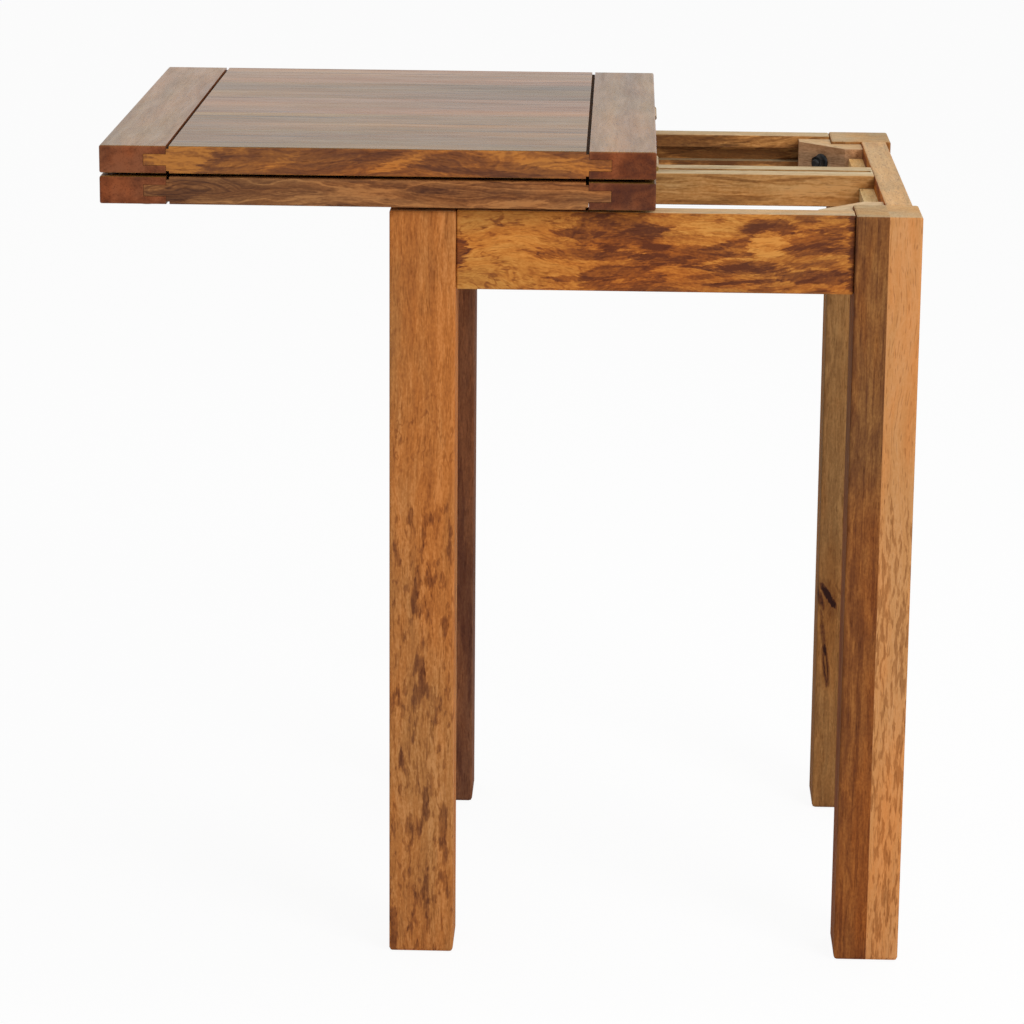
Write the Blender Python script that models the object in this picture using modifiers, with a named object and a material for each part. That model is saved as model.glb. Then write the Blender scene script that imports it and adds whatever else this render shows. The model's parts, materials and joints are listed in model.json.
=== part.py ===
"""Flip-top extending table: a square leg-and-apron base under two hinged leaves that slide and unfold.

Units are metres and +Z is up. X runs along the slide, to the right, and Y from the front to the back. The leaves
stand in the slid-out, still folded position: their right edge is over the middle of the base. The origin is on the
floor, in the middle of the whole outline.
"""

import math

import bmesh
import bpy
from mathutils import Matrix, Vector

# Overall sizes
TABLE_HEIGHT = 0.770
LEAF_LENGTH = 0.500
LEAF_DEPTH = 0.500
LEAF_THICKNESS = 0.025
LEAF_GAP = 0.003
LEAF_STANDOFF = 0.004
LEAF_OVERHANG = 0.010

# Leaf boards
END_BOARD_WIDTH = 0.060
PANEL_BOARDS = 5
TONGUE_LENGTH = 0.020
TONGUE_THICKNESS = 0.010
SHADOW_GROOVE_WIDTH = 0.003
SHADOW_GROOVE_DEPTH = 0.0025
LEAF_EASING = 0.0015

# Legs and aprons
LEG_WIDTH = 0.060
LEG_EASING = 0.002
FOOT_CHAMFER = 0.004
APRON_HEIGHT = 0.073
APRON_THICKNESS = 0.025
APRON_SETBACK = 0.005
APRON_EASING = 0.0015
TENON_LENGTH = 0.028
TENON_THICKNESS = 0.010
TENON_SHOULDER = 0.010

# Slide channels in the front and back aprons, and the shoes that run in them
CHANNEL_DROP = 0.0125
CHANNEL_HEIGHT = 0.014
CHANNEL_DEPTH = 0.012
CHANNEL_STOP = 0.006
SHOE_LENGTH = 0.045
SHOE_STEM = 0.016
SHOE_SIDE_GAP = 0.0006
SHOE_TOP_GAP = 0.0007
SHOE_SCREW_LAND = 0.012
STOP_CLEARANCE = 0.0005

# Centre rail, its ledgers and the pegs that it guides
LEDGER_DROP = 0.0125
LEDGER_WIDTH = 0.014
LEDGER_HEIGHT = 0.016
LEDGER_SCREW_SPREAD = 0.105
RAIL_WIDTH = 0.050
RAIL_THICKNESS = 0.030
RAIL_TENON_LENGTH = 0.012
RAIL_TENON_DROP = 0.005
RAIL_EASING = 0.001
RAIL_GROOVE_WIDTH = 0.008
RAIL_GROOVE_DEPTH = 0.008
RAIL_GROOVE_STOP = 0.002
PEG_CLEARANCE = 0.0004
PEG_INSET = 0.012
PEG_TIP_GAP = 0.001
PEG_NEAR = 0.085
PEG_END_GAP = 0.010

# Pads under the lower leaf
PAD_DIAMETER = 0.018
PAD_INSET = 0.040

# Corner blocks and leg bolts
BLOCK_TIP = 0.018
BLOCK_HEIGHT = 0.040
BLOCK_DROP = 0.003
BLOCK_SCREW_LAND = 0.014
BLOCK_SCREW_RISE = 0.008
BOLT_DIAMETER = 0.008
BOLT_BITE = 0.032
BOLT_RISE = 0.003
BOLT_TAIL = 0.003
NUT_ACROSS_FLATS = 0.013
NUT_HEIGHT = 0.008
NUT_FLANGE_DIAMETER = 0.017
NUT_FLANGE_THICKNESS = 0.0016

# Wood screws, large in the base and small in the hinges
SCREW_LENGTH = 0.026
SCREW_RADIUS = 0.002
SCREW_HEAD_RADIUS = 0.004
SCREW_HEAD_HEIGHT = 0.0025
HINGE_SCREW_LENGTH = 0.014
HINGE_SCREW_RADIUS = 0.0014
HINGE_SCREW_HEAD_RADIUS = 0.0028
HINGE_SCREW_HEAD_HEIGHT = 0.0014

# Hinges
HINGE_EDGE = 0.0003
HINGE_LENGTH = 0.060
HINGE_INSET = 0.100
HINGE_PLATE_WIDTH = 0.028
HINGE_PLATE_THICKNESS = 0.002
HINGE_KNUCKLES = 5
HINGE_SCREWS = 3
HINGE_SCREW_OFFSET = 0.017
KNUCKLE_RADIUS = 0.0025
PIN_RADIUS = 0.0011

# Clearance between pieces, how far a cutter runs past a face, and mesh fineness
FIT = 0.0003
BREAK_OUT = 0.002
WELD = 0.000001
SAME_PLANE = 0.00001
BEVEL_SEGMENTS = 2
ROUND_STEPS = 20
SCREW_STEPS = 12
HEXAGON = 6
SHARP_ANGLE = math.radians(35)

# Levels, worked out from the sizes
UPPER_BOTTOM = TABLE_HEIGHT - LEAF_THICKNESS
LOWER_TOP = UPPER_BOTTOM - LEAF_GAP
LOWER_BOTTOM = LOWER_TOP - LEAF_THICKNESS
FRAME_TOP = LOWER_BOTTOM - LEAF_STANDOFF
CHANNEL_TOP = FRAME_TOP - CHANNEL_DROP
CHANNEL_FLOOR = CHANNEL_TOP - CHANNEL_HEIGHT
LEDGER_TOP = FRAME_TOP - LEDGER_DROP
BLOCK_MIDDLE = FRAME_TOP - BLOCK_DROP - BLOCK_HEIGHT / 2

# Plan positions, worked out from the sizes: apron and leg faces are measured from the middle of the base
BASE_LENGTH = LEAF_LENGTH - 2 * LEAF_OVERHANG
BASE_DEPTH = LEAF_DEPTH - 2 * LEAF_OVERHANG
BASE_X = (LEAF_LENGTH + HINGE_EDGE - BASE_LENGTH / 2) / 2
HINGE_AXIS = Vector((BASE_X, 0.0, LOWER_TOP + LEAF_GAP / 2))
LEAF_RIGHT = BASE_X - HINGE_EDGE
LEAF_LEFT = LEAF_RIGHT - LEAF_LENGTH
TRAVEL = LEAF_LENGTH / 2 + HINGE_EDGE
APRON_OUT_X = BASE_LENGTH / 2 - APRON_SETBACK
APRON_OUT_Y = BASE_DEPTH / 2 - APRON_SETBACK
APRON_IN_X = APRON_OUT_X - APRON_THICKNESS
APRON_IN_Y = APRON_OUT_Y - APRON_THICKNESS
LEG_IN_X = BASE_LENGTH / 2 - LEG_WIDTH
LEG_IN_Y = BASE_DEPTH / 2 - LEG_WIDTH
LEG_INTRUSION = LEG_WIDTH - APRON_SETBACK - APRON_THICKNESS
SHOE_X = BASE_X - TRAVEL / 2
BLOCK_REACH = APRON_IN_X - (TRAVEL + SHOE_LENGTH) / 2 - STOP_CLEARANCE
BLOCK_FACE = (BLOCK_REACH + BLOCK_TIP) / 2
PEG_FAR = APRON_IN_X - PEG_END_GAP
SIDES = {"left": -1, "right": 1}
DEPTHS = {"front": -1, "back": 1}


# Empty scene, with one collection for the parts and one for the cutters

for leftover in list(bpy.data.objects):
    bpy.data.objects.remove(leftover, do_unlink=True)

PARTS = bpy.data.collections.new("flip_top_table")
CUTTERS = bpy.data.collections.new("cutters")
bpy.context.scene.collection.children.link(PARTS)
bpy.context.scene.collection.children.link(CUTTERS)


# Materials

def finish(name, colour, roughness, metallic=0.0):
    """Plain material of one colour."""
    material = bpy.data.materials.new(name)
    material.use_nodes = True
    shader = material.node_tree.nodes["Principled BSDF"]
    shader.inputs["Base Color"].default_value = (*colour, 1.0)
    shader.inputs["Roughness"].default_value = roughness
    shader.inputs["Metallic"].default_value = metallic
    material.diffuse_color = (*colour, 1.0)
    return material


PANEL_WOOD = finish("varnished_panel_wood", (0.38, 0.20, 0.08), 0.25)
END_WOOD = finish("varnished_end_board_wood", (0.30, 0.13, 0.05), 0.25)
LEG_WOOD = finish("varnished_leg_wood", (0.42, 0.20, 0.07), 0.35)
APRON_WOOD = finish("varnished_apron_wood", (0.45, 0.20, 0.05), 0.35)
BARE_WOOD = finish("bare_wood", (0.55, 0.36, 0.18), 0.6)
BLOCK_WOOD = finish("bare_block_wood", (0.30, 0.18, 0.10), 0.6)
BLACK_STEEL = finish("black_steel", (0.02, 0.02, 0.022), 0.4, 0.9)
ZINC_STEEL = finish("zinc_steel", (0.55, 0.55, 0.52), 0.35, 1.0)
BRASS = finish("brass", (0.65, 0.45, 0.16), 0.3, 1.0)
FELT = finish("brown_felt", (0.12, 0.07, 0.04), 0.95)


# Meshes

def mesh_from(name, shape):
    """Mesh from a bmesh, with its faces turned outwards and its round sides shaded smooth."""
    bmesh.ops.recalc_face_normals(shape, faces=shape.faces)
    mesh = bpy.data.meshes.new(name)
    shape.to_mesh(mesh)
    shape.free()
    mesh.shade_smooth()
    mesh.set_sharp_from_angle(angle=SHARP_ANGLE)
    return mesh


def box_mesh(name, size):
    """Box of the given size about the origin."""
    shape = bmesh.new()
    bmesh.ops.create_cube(shape, size=1.0)
    bmesh.ops.scale(shape, vec=size, verts=shape.verts)
    return mesh_from(name, shape)


def rod_mesh(name, radius, length, steps=ROUND_STEPS):
    """Closed cylinder or prism along Z about the origin."""
    shape = bmesh.new()
    bmesh.ops.create_cone(shape, cap_ends=True, segments=steps, radius1=radius, radius2=radius, depth=length)
    return mesh_from(name, shape)


def outline_mesh(name, points, thickness, turn):
    """Flat outline with a thickness, half to each side of its plane, then turned in space."""
    shape = bmesh.new()
    corners = [shape.verts.new((across, up, -thickness / 2)) for across, up in points]
    sides = [shape.edges.new(pair) for pair in zip(corners, corners[1:] + corners[:1])]
    flat = bmesh.ops.edgeloop_fill(shape, edges=sides)["faces"]
    raised = bmesh.ops.extrude_face_region(shape, geom=flat, use_keep_orig=True)["geom"]
    raised_corners = [item for item in raised if isinstance(item, bmesh.types.BMVert)]
    bmesh.ops.translate(shape, verts=raised_corners, vec=(0.0, 0.0, thickness))
    mesh = mesh_from(name, shape)
    mesh.transform(turn)
    return mesh


def turned_mesh(name, profile, steps):
    """Profile of (radius, height) points, from the top down, spun round Z."""
    edges = [(index, index + 1) for index in range(len(profile) - 1)]
    line = bpy.data.meshes.new(name)
    line.from_pydata([(radius, 0.0, height) for radius, height in profile], edges, [])
    holder = bpy.data.objects.new(name, line)
    bpy.context.scene.collection.objects.link(holder)
    spin = holder.modifiers.new("spin", "SCREW")
    spin.steps = steps
    spin.render_steps = steps
    spin.use_merge_vertices = True
    spin.merge_threshold = WELD
    graph = bpy.context.evaluated_depsgraph_get()
    spun = bpy.data.meshes.new_from_object(holder.evaluated_get(graph))
    bpy.data.objects.remove(holder, do_unlink=True)
    bpy.data.meshes.remove(line)
    shape = bmesh.new()
    shape.from_mesh(spun)
    bpy.data.meshes.remove(spun)
    bmesh.ops.remove_doubles(shape, verts=shape.verts, dist=WELD)
    return mesh_from(name, shape)


def screw_mesh(name, length, radius, head_radius, head_height):
    """Countersunk wood screw with the face of its head at the origin and its point down Z."""
    profile = [(0.0, 0.0), (head_radius, 0.0), (radius, -head_height), (radius, 2 * radius - length), (0.0, -length)]
    return turned_mesh(name, profile, SCREW_STEPS)


def screw_hole_mesh(name, length, radius, head_radius, head_height, counterbore):
    """Hole for a screw, with a counterbore above its head."""
    wide = head_radius + FIT
    slim = radius + FIT
    profile = [
        (0.0, counterbore),
        (wide, counterbore),
        (wide, -FIT),
        (slim, -head_height - FIT),
        (slim, 2 * radius - length - FIT),
        (0.0, -length - 2 * FIT),
    ]
    return turned_mesh(name, profile, SCREW_STEPS)


def grouped_mesh(name, mesh, places):
    """One mesh that holds a separate copy of a shape at each place."""
    shape = bmesh.new()
    for place in places:
        copy = mesh.copy()
        copy.transform(place)
        shape.from_mesh(copy)
        bpy.data.meshes.remove(copy)
    bpy.data.meshes.remove(mesh)
    return mesh_from(name, shape)


def moved(point):
    """Place that only moves a shape."""
    return Matrix.Translation(point)


def aimed(point, direction):
    """Place that puts a shape's origin at a point and turns its -Z to a direction."""
    turn = Vector(direction).to_track_quat("-Z", "Y")
    return Matrix.Translation(point) @ turn.to_matrix().to_4x4()


# How an outline is turned: its across to X and its up to Z, or its across to Y and its up to Z
FACING_Y = Matrix(((1, 0, 0, 0), (0, 0, -1, 0), (0, 1, 0, 0), (0, 0, 0, 1)))
FACING_X = Matrix(((0, 0, 1, 0), (1, 0, 0, 0), (0, 1, 0, 0), (0, 0, 0, 1)))


# Objects

def origin_of(carrier):
    """World position of a carrier."""
    return carrier.matrix_world.translation.copy()


def add_carrier(name, point, parent=None):
    """Empty on a joint's axis that carries the pieces of one body."""
    carrier = bpy.data.objects.new(name, None)
    PARTS.objects.link(carrier)
    carrier.location = point
    if parent is not None:
        carrier.parent = parent
        carrier.location = point - origin_of(parent)
    bpy.context.view_layer.update()
    return carrier


def add_part(name, mesh, material, carrier, place):
    """Named piece at a place in the world, carried by its body's empty."""
    part = bpy.data.objects.new(name, mesh)
    mesh.materials.append(material)
    PARTS.objects.link(part)
    part.parent = carrier
    part.matrix_basis = Matrix.Translation(-origin_of(carrier)) @ place
    return part


def add_slab(name, low, high, material, carrier):
    """Rectangular piece between two world corners."""
    low = Vector(low)
    high = Vector(high)
    return add_part(name, box_mesh(name, high - low), material, carrier, moved((low + high) / 2))


def add_cutter(name, mesh, place=Matrix.Identity(4)):
    """Hidden shape that a piece is cut by or joined with."""
    cutter = bpy.data.objects.new(name, mesh)
    CUTTERS.objects.link(cutter)
    cutter.matrix_basis = place
    cutter.hide_render = True
    cutter.display_type = "WIRE"
    return cutter


def add_box_cutter(name, corner, opposite):
    """Hidden box between two opposite world corners."""
    corner = Vector(corner)
    opposite = Vector(opposite)
    size = [abs(step) for step in opposite - corner]
    return add_cutter(name, box_mesh(name, size), moved((corner + opposite) / 2))


def combine(part, other, operation="DIFFERENCE"):
    """Boolean that cuts a piece with another shape, or joins the shape on."""
    boolean = part.modifiers.new(other.name, "BOOLEAN")
    boolean.operation = operation
    boolean.solver = "EXACT"
    boolean.object = other


def ease(part, low, high, width, foot_width=None):
    """Round those edges of a piece that lie on the edges of a box between two world corners.

    The edges round its foot can have a width of their own, which is the larger one.
    """
    centre = part.location + origin_of(part.parent)
    planes = [(axis, corner[axis] - centre[axis]) for axis in range(3) for corner in (low, high)]
    foot = (2, low[2] - centre[2])
    widest = foot_width or width
    mesh = part.data
    weight = mesh.attributes.new("bevel_weight_edge", "FLOAT", "EDGE")
    for edge in mesh.edges:
        ends = [mesh.vertices[index].co for index in edge.vertices]
        shared = [plane for plane in planes if all(abs(end[plane[0]] - plane[1]) < SAME_PLANE for end in ends)]
        if len(shared) >= 2:
            weight.data[edge.index].value = 1.0 if foot in shared else width / widest
    rounding = part.modifiers.new("eased_edges", "BEVEL")
    rounding.limit_method = "WEIGHT"
    rounding.width = widest
    rounding.segments = BEVEL_SEGMENTS


def add_eased_slab(name, low, high, material, carrier, width, foot_width=None):
    """Rectangular piece with all its edges rounded."""
    part = add_slab(name, low, high, material, carrier)
    ease(part, low, high, width, foot_width)
    return part


# Bodies: the base stands still, the lower leaf slides and the upper leaf turns on it

BASE = add_carrier("base_carrier", Vector((BASE_X, 0.0, 0.0)))
LOWER = add_carrier("lower_leaf_carrier", HINGE_AXIS)
UPPER = add_carrier("upper_leaf_carrier", HINGE_AXIS, LOWER)


# Legs

def add_leg(side, depth):
    """Square leg at one corner of the base."""
    x_in = BASE_X + SIDES[side] * LEG_IN_X
    x_out = BASE_X + SIDES[side] * BASE_LENGTH / 2
    y_in = DEPTHS[depth] * LEG_IN_Y
    y_out = DEPTHS[depth] * BASE_DEPTH / 2
    low = (min(x_in, x_out), min(y_in, y_out), 0.0)
    high = (max(x_in, x_out), max(y_in, y_out), FRAME_TOP)
    return add_eased_slab(f"{depth}_{side}_leg", low, high, LEG_WOOD, BASE, LEG_EASING, FOOT_CHAMFER)


CORNERS = [(side, depth) for depth in DEPTHS for side in SIDES]
LEGS = {corner: add_leg(*corner) for corner in CORNERS}


# Aprons, tenoned into the legs

TENON_TOP = FRAME_TOP - TENON_SHOULDER
TENON_BOTTOM = FRAME_TOP - APRON_HEIGHT + TENON_SHOULDER
TENON_INSET = (APRON_THICKNESS - TENON_THICKNESS) / 2


def add_apron(name, run, near, far, along, carrier):
    """Apron between two legs with a tenon at each end, and the cutter for its mortises.

    It runs half its length to each side of the base's middle, along X or Y, and near and far are its two faces
    across that.
    """
    def corner(half, across, level):
        if along == "X":
            return Vector((BASE_X + half, across, level))
        return Vector((BASE_X + across, half, level))

    low, high = sorted((near, far))
    bottom = FRAME_TOP - APRON_HEIGHT
    body_low = corner(FIT - run, low, bottom)
    body_high = corner(run - FIT, high, FRAME_TOP)
    apron = add_eased_slab(name, body_low, body_high, APRON_WOOD, carrier, APRON_EASING)
    reach = run + TENON_LENGTH
    tenon_low = corner(-reach, low + TENON_INSET, TENON_BOTTOM)
    tenon_high = corner(reach, high - TENON_INSET, TENON_TOP)
    combine(apron, add_box_cutter(name + "_tenons", tenon_low, tenon_high), "UNION")
    room = Vector((FIT, FIT, FIT))
    return apron, add_box_cutter(name + "_mortises", tenon_low - room, tenon_high + room)


APRONS = {}
for depth, way in DEPTHS.items():
    apron, mortises = add_apron(depth + "_apron", LEG_IN_X, way * APRON_IN_Y, way * APRON_OUT_Y, "X", BASE)
    APRONS[depth] = apron
    for side in SIDES:
        combine(LEGS[side, depth], mortises)
for side, way in SIDES.items():
    apron, mortises = add_apron(side + "_apron", LEG_IN_Y, way * APRON_IN_X, way * APRON_OUT_X, "Y", BASE)
    APRONS[side] = apron
    for depth in DEPTHS:
        combine(LEGS[side, depth], mortises)


# Slide channels along the inner faces of the front and back aprons

for depth, way in DEPTHS.items():
    reach = LEG_IN_X - CHANNEL_STOP
    mouth = way * (APRON_IN_Y - BREAK_OUT)
    back = way * (APRON_IN_Y + CHANNEL_DEPTH)
    channel = add_box_cutter(
        depth + "_channel", (BASE_X - reach, mouth, CHANNEL_FLOOR), (BASE_X + reach, back, CHANNEL_TOP)
    )
    combine(APRONS[depth], channel)


# Ledgers on the side aprons, between the corner blocks

LEDGERS = {}
LEDGER_REACH = APRON_IN_Y - BLOCK_REACH - FIT
for side, way in SIDES.items():
    x_in = BASE_X + way * (APRON_IN_X - LEDGER_WIDTH)
    x_out = BASE_X + way * (APRON_IN_X - FIT)
    low = (min(x_in, x_out), -LEDGER_REACH, LEDGER_TOP - LEDGER_HEIGHT)
    high = (max(x_in, x_out), LEDGER_REACH, LEDGER_TOP)
    LEDGERS[side] = add_slab(side + "_ledger", low, high, BARE_WOOD, BASE)


# Centre rail: its ends are notched over the ledgers, butt against the side aprons and are tenoned into them

RAIL_END = APRON_IN_X + RAIL_TENON_LENGTH
RAIL_BUTT = APRON_IN_X - FIT
RAIL_SHOULDER = APRON_IN_X - LEDGER_WIDTH - FIT
RAIL_NOTCH = LEDGER_TOP + FIT - FRAME_TOP
rail_half = [
    (RAIL_SHOULDER, -RAIL_THICKNESS),
    (RAIL_SHOULDER, RAIL_NOTCH),
    (RAIL_END, RAIL_NOTCH),
    (RAIL_END, -RAIL_TENON_DROP),
    (RAIL_BUTT, -RAIL_TENON_DROP),
    (RAIL_BUTT, 0.0),
]
rail_outline = rail_half + [(-x, z) for x, z in reversed(rail_half)]
rail = add_part(
    "centre_rail",
    outline_mesh("centre_rail", rail_outline, RAIL_WIDTH, FACING_Y),
    BARE_WOOD,
    BASE,
    moved((BASE_X, 0.0, FRAME_TOP)),
)
ease(
    rail,
    (BASE_X - RAIL_END, -RAIL_WIDTH / 2, FRAME_TOP - RAIL_THICKNESS),
    (BASE_X + RAIL_END, RAIL_WIDTH / 2, FRAME_TOP),
    RAIL_EASING,
)
groove_reach = APRON_IN_X - RAIL_GROOVE_STOP
rail_groove = add_box_cutter(
    "rail_groove",
    (BASE_X - groove_reach, -RAIL_GROOVE_WIDTH / 2, FRAME_TOP - RAIL_GROOVE_DEPTH),
    (BASE_X + groove_reach, RAIL_GROOVE_WIDTH / 2, FRAME_TOP + BREAK_OUT),
)
combine(rail, rail_groove)
rail_mortises = add_box_cutter(
    "rail_mortises",
    (BASE_X - RAIL_END - FIT, -RAIL_WIDTH / 2 - FIT, LEDGER_TOP),
    (BASE_X + RAIL_END + FIT, RAIL_WIDTH / 2 + FIT, FRAME_TOP - RAIL_TENON_DROP + FIT),
)
for side in SIDES:
    combine(APRONS[side], rail_mortises)


# Corner blocks, notched round the legs and cut square at their tips

def add_block(side, depth):
    """Corner block in plan: along one apron, across the corner, along the other and round the leg."""
    notch = LEG_INTRUSION + FIT
    plan = [
        (BLOCK_REACH, FIT),
        (BLOCK_REACH, BLOCK_TIP),
        (BLOCK_TIP, BLOCK_REACH),
        (FIT, BLOCK_REACH),
        (FIT, notch),
        (notch, notch),
        (notch, FIT),
    ]
    x_corner = SIDES[side] * APRON_IN_X
    y_corner = DEPTHS[depth] * APRON_IN_Y
    points = [(x_corner - SIDES[side] * u, y_corner - DEPTHS[depth] * v) for u, v in plan]
    name = f"{depth}_{side}_block"
    mesh = outline_mesh(name, points, BLOCK_HEIGHT, Matrix.Identity(4))
    return add_part(name, mesh, BLOCK_WOOD, BASE, moved((BASE_X, 0.0, BLOCK_MIDDLE)))


BLOCKS = {corner: add_block(*corner) for corner in CORNERS}


# Leg bolts: a stud on the diagonal of each corner, through the block and into the leg, with a flanged nut

STUD_RADIUS = BOLT_DIAMETER / 2
STUD_OUT = FIT + NUT_HEIGHT + BOLT_TAIL
STUD_IN = (BLOCK_FACE - LEG_INTRUSION) * math.sqrt(2) + BOLT_BITE


def bolt_place(side, depth, inward):
    """Place on a corner's bolt axis, at a distance from the block's face in towards the leg."""
    x = BASE_X + SIDES[side] * (APRON_IN_X - BLOCK_FACE)
    y = DEPTHS[depth] * (APRON_IN_Y - BLOCK_FACE)
    way = Vector((SIDES[side], DEPTHS[depth], 0.0)).normalized()
    return aimed(Vector((x, y, BLOCK_MIDDLE + BOLT_RISE)) + way * inward, way)


for side, depth in CORNERS:
    name = f"{depth}_{side}_leg_bolt"
    stud = rod_mesh(name, STUD_RADIUS, STUD_OUT + STUD_IN)
    add_part(name, stud, BLACK_STEEL, BASE, bolt_place(side, depth, (STUD_IN - STUD_OUT) / 2))
    hole_start = -STUD_OUT - BREAK_OUT
    hole_end = STUD_IN + FIT
    hole_mesh = rod_mesh(name + "_hole", STUD_RADIUS + FIT, hole_end - hole_start)
    hole = add_cutter(name + "_hole", hole_mesh, bolt_place(side, depth, (hole_start + hole_end) / 2))
    combine(BLOCKS[side, depth], hole)
    combine(LEGS[side, depth], hole)

    name = f"{depth}_{side}_leg_nut"
    hexagon = rod_mesh(name, NUT_ACROSS_FLATS / math.sqrt(3), NUT_HEIGHT, HEXAGON)
    nut = add_part(name, hexagon, BLACK_STEEL, BASE, bolt_place(side, depth, -FIT - NUT_HEIGHT / 2))
    flange_mesh = rod_mesh(name + "_flange", NUT_FLANGE_DIAMETER / 2, NUT_FLANGE_THICKNESS)
    flange_middle = -FIT - NUT_FLANGE_THICKNESS / 2
    flange = add_cutter(name + "_flange", flange_mesh, bolt_place(side, depth, flange_middle))
    combine(nut, flange, "UNION")
    combine(nut, hole)


# Screw holes of the corner blocks and the ledgers, on into the aprons

def add_screw_holes(name, places, size, counterbore):
    """Cutter for a group of screw holes, with counterbores of the given length."""
    return add_cutter(name, grouped_mesh(name, screw_hole_mesh(name, *size, counterbore), places))


WOOD_SCREW = (SCREW_LENGTH, SCREW_RADIUS, SCREW_HEAD_RADIUS, SCREW_HEAD_HEIGHT)
BLOCK_SCREW_ALONG = (BLOCK_REACH + LEG_INTRUSION) / 2
BLOCK_SCREW_LEVEL = BLOCK_MIDDLE - BLOCK_HEIGHT / 2 + BLOCK_SCREW_RISE

block_screw_places = {"crosswise": [], "lengthwise": []}
for side, depth in CORNERS:
    x_way = SIDES[side]
    y_way = DEPTHS[depth]
    x = BASE_X + x_way * (APRON_IN_X - BLOCK_SCREW_ALONG)
    y = y_way * (APRON_IN_Y - BLOCK_SCREW_LAND)
    block_screw_places["crosswise"].append(aimed((x, y, BLOCK_SCREW_LEVEL), (0, y_way, 0)))
    x = BASE_X + x_way * (APRON_IN_X - BLOCK_SCREW_LAND)
    y = y_way * (APRON_IN_Y - BLOCK_SCREW_ALONG)
    block_screw_places["lengthwise"].append(aimed((x, y, BLOCK_SCREW_LEVEL), (x_way, 0, 0)))
for way, places in block_screw_places.items():
    holes = add_screw_holes(way + "_block_screw_holes", places, WOOD_SCREW, BLOCK_REACH)
    for part in list(BLOCKS.values()) + list(APRONS.values()):
        combine(part, holes)

ledger_screw_places = []
for side, way in SIDES.items():
    x = BASE_X + way * (APRON_IN_X - LEDGER_WIDTH)
    for y in (-LEDGER_SCREW_SPREAD, LEDGER_SCREW_SPREAD):
        ledger_screw_places.append(aimed((x, y, LEDGER_TOP - LEDGER_HEIGHT / 2), (way, 0, 0)))
ledger_holes = add_screw_holes("ledger_screw_holes", ledger_screw_places, WOOD_SCREW, BREAK_OUT)
for side in SIDES:
    combine(LEDGERS[side], ledger_holes)
    combine(APRONS[side], ledger_holes)


# Leaves: panel boards tongued into a grooved end board at each end

PANEL_LEFT = LEAF_LEFT + END_BOARD_WIDTH
PANEL_RIGHT = LEAF_RIGHT - END_BOARD_WIDTH


def add_leaf(leaf, bottom, carrier):
    """Boards of one leaf, as a dictionary by name."""
    top = bottom + LEAF_THICKNESS
    middle = (bottom + top) / 2
    low = (LEAF_LEFT, -LEAF_DEPTH / 2, bottom)
    high = (LEAF_RIGHT, LEAF_DEPTH / 2, top)
    boards = {}

    groove_half = TONGUE_THICKNESS / 2 + FIT
    groove = add_box_cutter(
        leaf + "_tongue_groove",
        (PANEL_LEFT - TONGUE_LENGTH - FIT, -LEAF_DEPTH, middle - groove_half),
        (PANEL_RIGHT + TONGUE_LENGTH + FIT, LEAF_DEPTH, middle + groove_half),
    )
    for side, start, end in (("left", LEAF_LEFT, PANEL_LEFT), ("right", PANEL_RIGHT, LEAF_RIGHT)):
        name = f"{leaf}_{side}_end_board"
        board = add_slab(name, (start, low[1], bottom), (end, high[1], top), END_WOOD, carrier)
        ease(board, low, high, LEAF_EASING)
        combine(board, groove)
        boards[name] = board

    reach = (PANEL_RIGHT - PANEL_LEFT) / 2
    face = LEAF_THICKNESS / 2
    groove_floor = face - SHADOW_GROOVE_DEPTH
    tongue = TONGUE_THICKNESS / 2
    upper_end = [
        (reach + TONGUE_LENGTH, tongue),
        (reach - FIT, tongue),
        (reach - FIT, groove_floor),
        (reach - SHADOW_GROOVE_WIDTH, groove_floor),
        (reach - SHADOW_GROOVE_WIDTH, face),
    ]
    right_end = [(x, -z) for x, z in reversed(upper_end)] + upper_end
    profile = right_end + [(-x, -z) for x, z in right_end]
    board_width = LEAF_DEPTH / PANEL_BOARDS
    for number in range(PANEL_BOARDS):
        name = f"{leaf}_board_{number + 1}"
        front = low[1] + number * board_width + (FIT / 2 if number else 0.0)
        back = low[1] + (number + 1) * board_width - (FIT / 2 if number < PANEL_BOARDS - 1 else 0.0)
        mesh = outline_mesh(name, profile, back - front, FACING_Y)
        centre = ((PANEL_LEFT + PANEL_RIGHT) / 2, (front + back) / 2, middle)
        board = add_part(name, mesh, PANEL_WOOD, carrier, moved(centre))
        ease(board, low, high, LEAF_EASING)
        boards[name] = board
    return boards


LOWER_BOARDS = add_leaf("lower", LOWER_BOTTOM, LOWER)
UPPER_BOARDS = add_leaf("upper", UPPER_BOTTOM, UPPER)
LOWER_PANEL = [board for name, board in LOWER_BOARDS.items() if "_board_" in name]


# Slide shoes: a stem under the lower leaf with a tongue that runs in the apron's channel

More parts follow.
